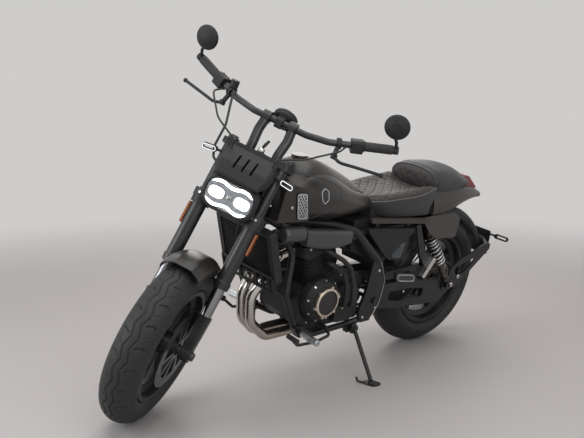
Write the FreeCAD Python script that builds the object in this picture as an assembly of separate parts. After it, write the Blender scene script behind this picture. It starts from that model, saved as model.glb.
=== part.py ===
# Cruiser motorcycle, parked on its side stand with its steering on the left stop.
# It is drawn upright: x to the rider's left, y rearward, z up, in millimetres and
# degrees, from the ground below the middle of the wheelbase. Then the front end is
# steered to its stop, and the whole is leaned and set on the floor.
import FreeCAD, Part
import math
import os

# Chassis
wheel_base = 1495.0
rake = 28.2
fork_offset = 54.0
front_radius = 320.0
rear_radius = 323.0
lean = 11.3
steer_stop = 33.0

# Tyres and rims
front_half = 66.0
rear_half = 76.0
front_tyre_height = 112.0
rear_tyre_height = 115.0
rim_flange = 8.0
rim_flange_height = 12.0
rim_wall = 7.0
tyre_wall = 12.0
spoke_pairs = 5
axle_radius = 10.0
axle_bore = 6.5
axle_bore_depth = 40.0
axle_head_radius = 15.0
fit = 0.2
bearing_gap = 0.3

# Brakes and drive
disc_radius = 150.0
disc_thickness = 4.5
disc_gap = 14.0
disc_windows = 10
rear_disc_radius = 120.0
rear_disc_inset = 88.0
sprocket_radius = 92.0
front_sprocket_radius = 36.0
chain_line = 90.0
chain_width = 12.0
chain_depth = 14.0
sprocket_thickness = 6.0

# Front end
leg_gap = 3.0
stanchion_radius = 21.0
slider_radius = 27.0
upper_leg_radius = 22.5
slider_low = 258.0
slider_high = 764.0
lower_clamp_low = 516.0
lower_clamp_high = 546.0
upper_clamp_low = 732.0
upper_clamp_high = 754.0
clamp_wall = 9.0
head_tube_radius = 31.0
stem_radius = 17.0
pivot_gap = 0.5
bar_radius = 13.0
bar_y = -260.0
bar_z = 1077.0
grip_length = 116.0
switch_length = 44.0
lever_reach = 206.0
stem_nut = 17.0
foot_top = 150.0
foot_width = 40.0
fender_gap = 18.0
fender_room = 10.0
fender_wall = 3.0
fender_rear = 62.0
fender_sweep = 70.0
lens_half = 92.0
lens_half_height = 52.0
grip_radius = 17.5
riser_radius = 18.5
riser_half = 54.0
riser_head = 16.0
gauge_radius = 51.0
mirror_radius = 48.0

# Frame
main_tube_radius = 18.0
cradle_radius = 13.0
rail_radius = 11.0
plate_half = 136.0
plate_thickness = 14.0
swing_pivot_y = 252.0
swing_pivot_z = 335.0
pivot_bolt_radius = 9.0
arm_inner = 108.0
arm_thickness = 26.0
seat_gap = 0.3
panel_inner = 128.0
tail_ceiling = 674.0
skirt_wall = 4.0
skirt_flare = 19.0
shroud_outer = 152.0

# Radiator and engine
radiator_half = 160.0
radiator_height = 214.0
radiator_depth = 34.0
radiator_slats = 16
guard_half = 150.0
guard_radius = 6.0
guard_high = -75.0
guard_low = -138.0
engine_half = 112.0
engine_lug_half = 70.0
fin_pitch = 12.0
fin_thickness = 3.0
ring_cover_radius = 60.0
coolant_hose_radius = 10.0
header_radius = 20.0

fender_half = front_half + fender_room
leg_half = fender_half + leg_gap + slider_radius
disc_inset = leg_half - foot_width / 2 - disc_gap
caliper_outer = disc_inset + 28.0
front_hub_right = leg_half - 44
front_axle_y = -wheel_base / 2
rear_axle_y = wheel_base / 2
rake_sin = math.sin(math.radians(rake))
rake_cos = math.cos(math.radians(rake))
Vec = FreeCAD.Vector


# Places along the fork: x, distance forward of the legs' plane, height along the legs
def fork(x, ahead, up):
    y = front_axle_y + up * rake_sin - ahead * rake_cos
    z = front_radius + up * rake_cos + ahead * rake_sin
    return Vec(x, y, z)


steer_axis = Vec(0, rake_sin, rake_cos)
stand_pivot = Vec(150, 151, 229)
stand_axis = Vec(0.646, -0.06, 0.761)
stand_axis.normalize()
steer_low = fork(0, -fork_offset, lower_clamp_low)


# Lines joined by tangent arcs through corners; each radius is held within its sides
def chain_of_edges(points, radii, closed):
    count = len(points)
    joints = []
    for i in range(count):
        here = points[i]
        if radii[i] <= 0 or (not closed and i in (0, count - 1)):
            joints.append((here, here, here))
            continue
        back = points[i - 1] - here
        on = points[(i + 1) % count] - here
        room = 0.49 * min(back.Length, on.Length)
        half = back.getAngle(on) / 2
        if half > math.pi / 2 - 0.01:
            joints.append((here, here, here))
            continue
        back.normalize()
        on.normalize()
        middle = back + on
        middle.normalize()
        cut = min(radii[i] / math.tan(half), room)
        radius = cut * math.tan(half)
        nearest = here + middle * (radius / math.sin(half) - radius)
        joints.append((here + back * cut, nearest, here + on * cut))
    edges = []
    for i in range(count):
        start, nearest, end = joints[i]
        if start.distanceToPoint(end) > 1e-6:
            edges.append(Part.Arc(start, nearest, end).toShape())
        if i == count - 1 and not closed:
            break
        after = joints[(i + 1) % count][0]
        if end.distanceToPoint(after) > 1e-6:
            edges.append(Part.LineSegment(end, after).toShape())
    return Part.Wire(edges)


# Corner (u, v, radius) of an outline to a place: x plate is in y z, y plate in x z
def placed(u, v, axis, at):
    if axis == "x":
        return Vec(at, u, v)
    if axis == "y":
        return Vec(u, at, v)
    return Vec(u, v, at)


def outline(corners, axis, at):
    points = [placed(u, v, axis, at) for u, v, r in corners]
    return chain_of_edges(points, [r for u, v, r in corners], True)


def plate(corners, axis, at, thickness):
    face = Part.Face(outline(corners, axis, at))
    return face.extrude(placed(0, 0, axis, thickness))


def rectangle(u, v, half_u, half_v, radius):
    return [(u - half_u, v - half_v, radius), (u + half_u, v - half_v, radius),
            (u + half_u, v + half_v, radius), (u - half_u, v + half_v, radius)]


def rod(start, end, radius, end_radius=None):
    along = end - start
    if end_radius is None or end_radius == radius:
        return Part.makeCylinder(radius, along.Length, start, along)
    return Part.makeCone(radius, end_radius, along.Length, start, along)


def pipe(points, radius, bend, bore=0.0):
    points = [Vec(*p) for p in points]
    path = chain_of_edges(points, [bend] * len(points), False)
    ring = Part.Wire(Part.makeCircle(radius, points[0], points[1] - points[0]))
    solid = path.makePipeShell([ring], True, False)
    if bore > 0:
        inner = Part.Wire(Part.makeCircle(bore, points[0], points[1] - points[0]))
        solid = solid.cut(path.makePipeShell([inner], True, False))
    return solid


# Turned piece: profile of (along, radius, fillet) round an axis through a centre
def turned(profile, centre, axis=Vec(1, 0, 0), angle=360.0):
    points = [Vec(a, 0, r) for a, r, f in profile]
    wire = chain_of_edges(points, [f for a, r, f in profile], True)
    solid = Part.Face(wire).revolve(Vec(0, 0, 0), Vec(1, 0, 0), angle)
    solid.Placement = FreeCAD.Placement(centre, FreeCAD.Rotation(Vec(1, 0, 0), axis))
    return solid


def ring(inner, outer, width, centre, axis=Vec(1, 0, 0)):
    half = width / 2
    profile = [(-half, inner, 0), (half, inner, 0), (half, outer, 0), (-half, outer, 0)]
    return turned(profile, centre, axis)


def mirrored(shape):
    return shape.mirror(Vec(0, 0, 0), Vec(1, 0, 0))


def both_sides(shape):
    return [shape, mirrored(shape)]


def fuse(shapes):
    whole = shapes[0].multiFuse(shapes[1:]) if len(shapes) > 1 else shapes[0]
    return whole.removeSplitter()


def turn_about_x(shape, centre, angle):
    copy = shape.copy()
    copy.rotate(centre, Vec(1, 0, 0), angle)
    return copy


# Cross section of a bodywork piece in the plane of one y: flat base, round sides
# and a crowned top. Columns: y, half base, base z, half width, its z, half
# shoulder, shoulder z, crown z
def hoop(y, half_base, base, half, middle, half_shoulder, shoulder, crown):
    left_low = Vec(half_base, y, base)
    right_low = Vec(-half_base, y, base)
    left_top = Vec(half_shoulder, y, shoulder)
    right_top = Vec(-half_shoulder, y, shoulder)
    return Part.Wire([
        Part.LineSegment(right_low, left_low).toShape(),
        Part.Arc(left_low, Vec(half, y, middle), left_top).toShape(),
        Part.Arc(left_top, Vec(0, y, crown), right_top).toShape(),
        Part.Arc(right_top, Vec(-half, y, middle), right_low).toShape()])


def loft(sections, ruled=False):
    return Part.makeLoft(sections, True, ruled)


front_axle = Vec(0, front_axle_y, front_radius)
rear_axle = Vec(0, rear_axle_y, rear_radius)


# Wheels
def tyre(centre, radius, half, height):
    bead_radius = radius - height
    crown = half + 2
    hub_line = radius - crown
    tread = math.radians(62)
    top = Vec(0, 0, radius)
    left = Vec(-crown * math.sin(tread), 0, hub_line + crown * math.cos(tread))
    right = Vec(-left.x, 0, left.z)
    bulge = Vec(-half, 0, hub_line - 6)
    heel = Vec(-half * 0.7, 0, bead_radius + rim_flange_height + 1)
    bead = Vec(-half * 0.7, 0, bead_radius)
    inner = Vec(-half * 0.7 + tyre_wall, 0, bead_radius)
    inner_top = Vec(0, 0, radius - tyre_wall - 3)
    edges = [Part.Arc(left, top, right).toShape(),
             Part.Arc(right, Vec(-bulge.x, 0, bulge.z), Vec(-heel.x, 0, heel.z)).toShape(),
             Part.LineSegment(Vec(-heel.x, 0, heel.z), Vec(-bead.x, 0, bead.z)).toShape(),
             Part.LineSegment(Vec(-bead.x, 0, bead.z), Vec(-inner.x, 0, inner.z)).toShape(),
             Part.Arc(Vec(-inner.x, 0, inner.z), inner_top, inner).toShape(),
             Part.LineSegment(inner, bead).toShape(),
             Part.LineSegment(bead, heel).toShape(),
             Part.Arc(heel, bulge, left).toShape()]
    solid = Part.Face(Part.Wire(edges)).revolve(Vec(0, 0, 0), Vec(1, 0, 0), 360)
    solid.translate(centre)
    return solid


def rim(centre, half, bead_radius, hub_left, hub_right):
    bead = half * 0.7
    lip = bead + rim_flange
    well = bead_radius - 26
    barrel = turned([(-lip, bead_radius - rim_wall, 0), (-lip, bead_radius + rim_flange_height, 3),
                     (-bead - seat_gap, bead_radius + rim_flange_height, 3),
                     (-bead - seat_gap, bead_radius - seat_gap, 0),
                     (-bead * 0.5, bead_radius - 3, 4), (-bead * 0.35, well, 6),
                     (bead * 0.35, well, 6), (bead * 0.5, bead_radius - 3, 4),
                     (bead + seat_gap, bead_radius - seat_gap, 0),
                     (bead + seat_gap, bead_radius + rim_flange_height, 3),
                     (lip, bead_radius + rim_flange_height, 3), (lip, bead_radius - rim_wall, 0),
                     (bead * 0.6, bead_radius - rim_wall - 5, 4),
                     (bead * 0.42, well - rim_wall, 6), (-bead * 0.42, well - rim_wall, 6),
                     (-bead * 0.6, bead_radius - rim_wall - 5, 4)], Vec(0, 0, 0))
    bore = axle_radius + bearing_gap
    hub = turned([(-hub_right, bore, 0), (hub_left, bore, 0), (hub_left, 34, 4),
                  (hub_left - 12, 36, 4), (24, 44, 6), (-24, 44, 6),
                  (-hub_right + 12, 36, 4), (-hub_right, 34, 4)], Vec(0, 0, 0))
    pieces = [barrel, hub]
    reach = well - rim_wall + 3
    step = 360.0 / spoke_pairs
    for i in range(spoke_pairs):
        for side in (-1, 1):
            foot = side * 11.0
            head = side * 34.0
            spoke = loft([outline(rectangle(0, foot, 15, 9, 3), "z", 40),
                          outline(rectangle(0, head, 11, 7, 3), "z", reach)])
            pieces.append(turn_about_x(spoke, Vec(0, 0, 0), i * step))
    solid = fuse(pieces)
    solid.translate(centre)
    return solid


# Brake disc with long windows between the friction ring and its carrier
def brake_disc(centre, inset, radius, inner):
    half = disc_thickness / 2
    blank = ring(inner, radius, disc_thickness, Vec(inset, 0, 0))
    carrier = radius - 38
    window = plate([(-7, inner + 14, 4), (7, inner + 14, 4), (25 * carrier / 112, carrier, 5),
                    (-25 * carrier / 112, carrier, 5)], "x", inset - half - 1, disc_thickness + 2)
    step = 360.0 / disc_windows
    cuts = [turn_about_x(window, Vec(0, 0, 0), i * step) for i in range(disc_windows)]
    solid = blank.cut(Part.makeCompound(cuts))
    solid.translate(centre)
    return solid


def sprocket():
    left = chain_line - sprocket_thickness / 2
    teeth = 36
    corners = []
    for i in range(teeth):
        for radius, turn in ((sprocket_radius - 9, 0.0), (sprocket_radius - 3, 0.36)):
            angle = 2 * math.pi * (i + turn) / teeth
            corners.append((radius * math.cos(angle), radius * math.sin(angle), 0))
    blank = plate(corners, "x", left, sprocket_thickness)
    hole = plate([(-12, 50, 5), (12, 50, 5), (17, 72, 5), (-17, 72, 5)], "x", left - 1, 8)
    cuts = [turn_about_x(hole, Vec(0, 0, 0), i * 60) for i in range(6)]
    cuts.append(rod(Vec(left - 1, 0, 0), Vec(left + 8, 0, 0), 22))
    solid = blank.cut(Part.makeCompound(cuts))
    solid.translate(rear_axle)
    return solid


# Axle bar with end heads, and a socket for a stand pin in its left end
def axle(centre, half_left, half_right):
    head = 12.0
    solid = fuse([
        rod(Vec(-half_right, 0, 0), Vec(half_left, 0, 0), axle_radius),
        rod(Vec(half_left - head, 0, 0), Vec(half_left, 0, 0), axle_head_radius),
        rod(Vec(-half_right, 0, 0), Vec(-half_right + head, 0, 0), axle_head_radius)])
    socket = rod(Vec(half_left - axle_bore_depth, 0, 0), Vec(half_left + 1, 0, 0), axle_bore)
    solid = solid.cut(socket)
    solid.translate(centre)
    return solid


def wheel_spacers(centre, reaches):
    sleeves = []
    for inner, outer in reaches:
        middle = (inner + outer) / 2
        place = centre + Vec(middle, 0, 0)
        sleeves.append(ring(axle_radius + seat_gap, 17, abs(outer - inner), place))
    return sleeves


# Front end, drawn steered straight ahead
fork_frame = FreeCAD.Placement(front_axle, FreeCAD.Rotation(Vec(1, 0, 0), -rake))


# From x, distance behind the legs' plane and height along the legs
def in_fork(shape):
    shape.Placement = fork_frame.multiply(shape.Placement)
    return shape


def fork_sliders():
    profile = [(slider_low, stanchion_radius + seat_gap, 0), (slider_low, 29, 2),
               (slider_low + 26, 31, 2), (slider_low + 30, slider_radius, 1),
               (lower_clamp_high + 3, slider_radius, 1),
               (lower_clamp_high + 9, upper_leg_radius, 2),
               (slider_high, upper_leg_radius, 3), (slider_high, 17, 0),
               (slider_high + 8, 15, 2), (slider_high + 8, 0, 0),
               (slider_low + 60, 0, 0), (slider_low + 60, stanchion_radius + seat_gap, 0)]
    leg = turned(profile, Vec(leg_half, 0, 0), Vec(0, 0, 1))
    return [in_fork(side) for side in both_sides(leg)]


def fork_stanchions():
    leg = rod(Vec(leg_half, 0, foot_top), Vec(leg_half, 0, slider_low + 55), stanchion_radius)
    return [in_fork(side) for side in both_sides(leg)]


def fork_feet():
    half = foot_width / 2
    body = loft([outline([(leg_half - half, -22, 8), (leg_half + half, -22, 8),
                          (leg_half + half, 22, 8), (leg_half - half, 22, 8)], "z", 10),
                 outline([(leg_half - 25, -25, 12), (leg_half + 25, -25, 12),
                          (leg_half + 25, 25, 12), (leg_half - 25, 25, 12)], "z", foot_top)])
    boss = rod(Vec(leg_half - half, 0, 0), Vec(leg_half + half, 0, 0), 27)
    lug_outline = [(20, 62, 8), (20, 128, 8), (44, 120, 8), (50, 80, 8)]
    lugs = plate(lug_outline, "x", caliper_outer + seat_gap, 15)
    eye = rod(Vec(leg_half - half - 1, 0, 0), Vec(leg_half + half + 1, 0, 0),
              axle_radius + seat_gap)
    left = fuse([body, boss, lugs]).cut(eye)
    right = mirrored(fuse([body, boss]).cut(eye))
    return [in_fork(left), in_fork(right)]


def triple_clamps():
    lower = plate([(-144, -32, 26), (144, -32, 26), (144, 30, 26), (58, 92, 26),
                   (-58, 92, 26), (-144, 30, 26)], "z", lower_clamp_low,
                  lower_clamp_high - lower_clamp_low)
    upper = plate([(-140, -30, 26), (140, -30, 26), (140, 28, 26), (96, 94, 22),
                   (-96, 94, 22), (-140, 28, 26)], "z", upper_clamp_low,
                  upper_clamp_high - upper_clamp_low)
    pinch = [rod(Vec(side * leg_half, 0, lower_clamp_low - 24),
                 Vec(side * leg_half, 0, lower_clamp_high),
                 slider_radius + clamp_wall) for side in (-1, 1)]
    stem = rod(Vec(0, fork_offset, lower_clamp_low - 6),
               Vec(0, fork_offset, upper_clamp_high + 4), stem_radius)
    nut = plate([(stem_nut * math.cos(math.radians(60 * i)),
                  fork_offset + stem_nut * math.sin(math.radians(60 * i)), 0)
                 for i in range(6)], "z", upper_clamp_high, 10)
    hanger = plate([(-42, -50, 6), (42, -50, 6), (42, -26, 6), (-42, -26, 6)], "z",
                   lower_clamp_low + 6, 18)
    holes = [rod(Vec(side * leg_half, 0, lower_clamp_low - 40),
                 Vec(side * leg_half, 0, lower_clamp_high + 4),
                 slider_radius + fit) for side in (-1, 1)]
    holes += [rod(Vec(side * leg_half, 0, lower_clamp_high),
                  Vec(side * leg_half, 0, upper_clamp_high + 20),
                  upper_leg_radius + fit) for side in (-1, 1)]
    holes.append(rod(Vec(62, -12, lower_clamp_low - 20), Vec(62, -12, lower_clamp_high + 20),
                     hose_radius + 2))
    body = fuse([lower, upper, stem, nut, hanger] + pinch).cut(Part.makeCompound(holes))
    return [in_fork(body).cut(headlamp()[0])]


def front_fender():
    inner = front_radius + fender_gap
    wide = fender_half
    profile = [(-wide, inner - 46, 0), (-wide + fender_wall, inner - 46, 0),
               (-wide + fender_wall, inner - 26, 30), (-wide * 0.45, inner, 40),
               (wide * 0.45, inner, 40), (wide - fender_wall, inner - 26, 30),
               (wide - fender_wall, inner - 46, 0), (wide, inner - 46, 0),
               (wide, inner - 22, 32), (wide * 0.48, inner + fender_wall + 1, 42),
               (-wide * 0.48, inner + fender_wall + 1, 42), (-wide, inner - 22, 32)]
    shell = turned(profile, Vec(0, 0, 0), Vec(1, 0, 0), fender_sweep)
    shell.rotate(Vec(0, 0, 0), Vec(1, 0, 0), -fender_rear)
    shell.translate(front_axle)
    pads = [in_fork(rod(Vec(side * (fender_half - 1.5), 0, 306),
                        Vec(side * (leg_half - slider_radius - seat_gap), 0, 306), 10))
            for side in (-1, 1)]
    return [fuse([shell] + pads)]


def risers():
    pieces = []
    for side in (-1, 1):
        foot = fork(side * riser_half, -62, upper_clamp_high)
        path = [foot, foot + steer_axis * 30, Vec(side * (riser_half + 6), -288, 1030),
                Vec(side * riser_half, bar_y, bar_z)]
        arm = pipe(path, riser_radius, 60)
        head = rod(Vec(side * (riser_half - riser_head), bar_y, bar_z),
                   Vec(side * (riser_half + riser_head), bar_y, bar_z), bar_radius + 11)
        hole = rod(Vec(side * (riser_half - 30), bar_y, bar_z),
                   Vec(side * (riser_half + 30), bar_y, bar_z), bar_radius + fit)
        pieces.append(fuse([arm, head]).cut(hole))
    return pieces


bar_run = [(110, -260, 1077), (195, -240, 1084), (412, -142, 1132)]


def handlebar():
    right = [Vec(-x, y, z) for x, y, z in reversed(bar_run)]
    left = [Vec(x, y, z) for x, y, z in bar_run]
    return [pipe(right + left, bar_radius, 75)]


bar_end = Vec(*bar_run[-1])
bar_way = bar_end - Vec(*bar_run[-2])
bar_way.normalize()


# From a piece drawn along x about the left grip's line, zero at the bar end
def on_bar(shape):
    turn = FreeCAD.Rotation(Vec(1, 0, 0), bar_way)
    shape.Placement = FreeCAD.Placement(bar_end, turn).multiply(shape.Placement)
    return shape


def grips():
    low = bar_radius + fit
    profile = [(-grip_length, low, 0), (-grip_length, 22, 2), (-grip_length + 6, 22, 2),
               (-grip_length + 7, grip_radius, 1), (-3, grip_radius, 3), (-3, low, 0)]
    return both_sides(on_bar(turned(profile, Vec(0, 0, 0))))


def switch_boxes():
    inner = -grip_length - 1
    outer = inner - switch_length
    box = plate([(-24, -27, 10), (22, -27, 10), (25, 22, 12), (-26, 24, 12)], "x",
                outer, switch_length)
    bore = rod(Vec(outer - 1, 0, 0), Vec(inner + 1, 0, 0), bar_radius + fit)
    knob = rod(Vec(outer + 16, 20, 6), Vec(outer + 16, 29, 8), 7)
    body = fuse([box, knob]).cut(bore)
    return both_sides(on_bar(body))


# Lever, and the perch that carries it, in one piece on each side
def levers():
    place = bar_end - bar_way * lever_reach
    collar = ring(bar_radius + fit, 21, 16, place, bar_way)
    pivot = Vec(236, -262, 1050)
    arm = rod(place + (pivot - place) * 0.36, pivot, 9)
    boss = rod(pivot - Vec(0, 2, 9), pivot + Vec(0, 2, 9), 12)
    blade = pipe([pivot, Vec(264, -276, 1042), Vec(318, -264, 1048), Vec(415, -226, 1051)],
                 6, 50)
    ball = Part.makeSphere(9, Vec(417, -225, 1051))
    tank = rod(place + Vec(0, 2, 18), place + Vec(0, 6, 46), 17)
    left = fuse([collar, arm, boss, blade, ball])
    right = mirrored(fuse([collar, arm, boss, blade, ball, tank]))
    bore = rod(place - bar_way * 30, place + bar_way * 30, bar_radius + fit)
    return [left.cut(bore), right.cut(mirrored(bore))]


def mirrors():
    collar = rod(bar_end + bar_way * 0.3, bar_end + bar_way * 17, bar_radius + 3)
    stem = pipe([bar_end + bar_way * 9, Vec(414, -168, 1172), Vec(400, -196, 1200)], 6, 30)
    head = turned([(0, 0, 0), (0, mirror_radius - 3, 0), (-6, mirror_radius, 2),
                   (-14, mirror_radius - 5, 6), (-24, 20, 30), (-26, 0, 0)],
                  Vec(397, -190, 1233), Vec(-0.12, 1, 0.05))
    return both_sides(fuse([collar, stem, head]))


def gauge():
    facing = Vec(0, 0.85, 0.53)
    facing.normalize()
    body = turned([(-19, 0, 0), (-19, gauge_radius - 17, 8), (-8, gauge_radius - 3, 6),
                   (12, gauge_radius, 4), (12, 0, 0)], Vec(0, bar_y + 52, bar_z - 3), facing)
    stay = plate([(-281, 1058, 8), (-238, 1052, 8), (-212, 1056, 0), (-212, 1082, 0),
                  (-240, 1097, 8), (-281, 1095, 8)], "x", -14, 28)
    hole = rod(Vec(-30, bar_y, bar_z), Vec(30, bar_y, bar_z), bar_radius + fit)
    return [fuse([body, stay]).cut(hole)]


lamp_frame = FreeCAD.Placement(Vec(0, -552, 845), FreeCAD.Rotation(Vec(1, 0, 0), -16))


def in_lamp(shape):
    shape.Placement = lamp_frame.multiply(shape.Placement)
    return shape


def leg_clearance(margin):
    knee = lower_clamp_high + 9
    legs = []
    for side in (-1, 1):
        middle = fork(side * leg_half, 0, knee)
        legs.append(rod(fork(side * leg_half, 0, 300), middle, slider_radius + margin))
        legs.append(rod(middle, fork(side * leg_half, 0, 900), upper_leg_radius + margin))
    return Part.makeCompound(legs)


def headlamp():
    shell = loft([outline(rectangle(0, 0, lens_half + 5, lens_half_height + 5, 46), "y", 0),
                  outline(rectangle(0, 0, lens_half + 12, lens_half_height + 12, 52), "y", 12),
                  outline(rectangle(0, 2, lens_half + 10, lens_half_height + 14, 46), "y", 30)])
    back = loft([outline(rectangle(0, 22, 68, 44, 20), "y", 30),
                 outline(rectangle(0, 26, 58, 32, 16), "y", 58)])
    recess = plate(rectangle(0, 0, lens_half - 2, lens_half_height - 2, 44), "y", -1, 9)
    return [in_lamp(fuse([shell, back]).cut(recess))]


def headlamp_lens():
    front = loft([outline(rectangle(0, 0, lens_half - 2 - fit, lens_half_height - 2 - fit,
                                    44), "y", 2),
                  outline(rectangle(0, 0, lens_half - 14, lens_half_height - 12, 34),
                          "y", -4)])
    return [in_lamp(front)]


def headlamp_cowl():
    skin = loft([outline([(-88, 903, 4), (88, 903, 4), (80, 914, 4), (-80, 914, 4)], "y", -536),
                 outline([(-106, 905, 12), (106, 905, 12), (96, 954, 16), (-96, 954, 16)],
                         "y", -505),
                 outline([(-114, 926, 14), (114, 926, 14), (100, 974, 18), (-100, 974, 18)],
                         "y", -470),
                 outline([(-108, 946, 12), (108, 946, 12), (96, 988, 16), (-96, 988, 16)],
                         "y", -432)], True)
    slots = [plate(rectangle(x, -490, 4, 26, 3.9), "z", 900, 120) for x in (-34, 0, 34)]
    lamp_room = headlamp()[0]
    lamp_room.translate(Vec(0, 0, seat_gap))
    return [skin.cut(leg_clearance(seat_gap)).cut(Part.makeCompound(slots)).cut(lamp_room)]


def indicator(inner, outer, half_height, depth):
    way = outer - inner
    length = way.Length
    loop = plate([(28, -half_height, half_height), (length, -half_height, half_height),
                  (length, half_height, half_height), (28, half_height, half_height)],
                 "y", -depth / 2, depth)
    hole = plate(rectangle((length + 34) / 2, 0, (length - 46) / 2, half_height - 5,
                           half_height - 5), "y", -depth, depth * 2)
    stem = rod(Vec(0, 0, 0), Vec(30, 0, 0), 5)
    body = fuse([loop.cut(hole), stem])
    body.Placement = FreeCAD.Placement(inner, FreeCAD.Rotation(Vec(1, 0, 0), way))
    return body


def front_indicators(cowl):
    left = indicator(Vec(100, -452, 952), Vec(186, -466, 948), 11, 12)
    return both_sides(left.cut(cowl))


# Caliper round a disc's edge: x of the disc, disc radius, inner and outer x, the
# angle behind the upright and how far it reaches before and after that angle
def caliper(inset, radius, low_x, high_x, angle, before, after):
    body = plate([(-before, radius - 54, 10), (after, radius - 54, 10),
                  (after - 8, radius + 15, 14), (8 - before, radius + 15, 14)], "x",
                 low_x, high_x - low_x)
    slot = plate([(-before - 9, radius - 60, 0), (after + 9, radius - 60, 0),
                  (after + 9, radius + 5, 0), (-before - 9, radius + 5, 0)], "x",
                 inset - 4, 8)
    return turn_about_x(body.cut(slot), Vec(0, 0, 0), -angle)


def front_caliper():
    return [in_fork(caliper(disc_inset, disc_radius, disc_inset - 22, caliper_outer,
                            28.6, 22, 50))]


# Brake hose from the right lever's cylinder to the caliper, and a cable from each
# switch box to the cowl
hose_run = [(-214, 70, 930), (-190, 30, 880), (-152, -18, 790), (-152, -20, 700),
            (-130, -38, 662), (-90, -38, 648), (-62, -12, 640), (62, -12, 628), (62, -12, 490),
            (64, 20, 462), (72, 38, 436), (100, 42, 400), (102, 42, 250), (90, 58, 196),
            (84, 80, 152)]
hose_radius = 4.5
cable_run = [(258, -236, 1092), (262, -330, 1100), (176, -430, 1052), (86, -450, 1012),
             (84, -450, 983)]


def cables():
    hose = in_fork(pipe(hose_run, hose_radius, 24))
    side = pipe(cable_run, 3.5, 60)
    return [hose] + both_sides(side)


def reflectors():
    glass = plate(rectangle(0, 446, 14, 42, 5), "x", leg_half + slider_radius + seat_gap, 8)
    return [in_fork(side) for side in both_sides(glass)]


# Frame, drawn upright
pod_pin = Vec(136.5, 16, 668)
pod_pin_radius = 9
tunnel_back = Vec(0, 130, 728)
tunnel_front = Vec(0, -180, 786)


radiator_frame = FreeCAD.Placement(Vec(0, -366, 601), FreeCAD.Rotation(Vec(1, 0, 0), 16.8))


def in_radiator(shape):
    shape.Placement = radiator_frame.multiply(shape.Placement)
    return shape


main_run = [tuple(fork(20, -68.8, 581.6)), (44, -220, 714), (96, -20, 686), (130, 90, 655),
            (140, 246, 508)]
cradle_run = [tuple(fork(22, -62, 569)), (90, -285, 705), (112, -224, 590), (136, -256, 440),
              (136, -190, 296), (122, -70, 236), (116, 130, 238), (140, 205, 262)]
rail_run = [(114, 92, 640), (112, 300, 640), (108, 560, 640), (97, 700, 657)]
tie_front = (88, 640, 18)
tie_upper = (246, 505, 14)
tie_lower = (246, 262, 12)
pivot_outline = [(212, 524, 8), (262, 504, 14), (300, 414, 20), (284, 316, 20), (238, 247, 12),
                 (176, 247, 14), (164, 300, 20), (192, 384, 20), (204, 470, 10)]


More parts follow.
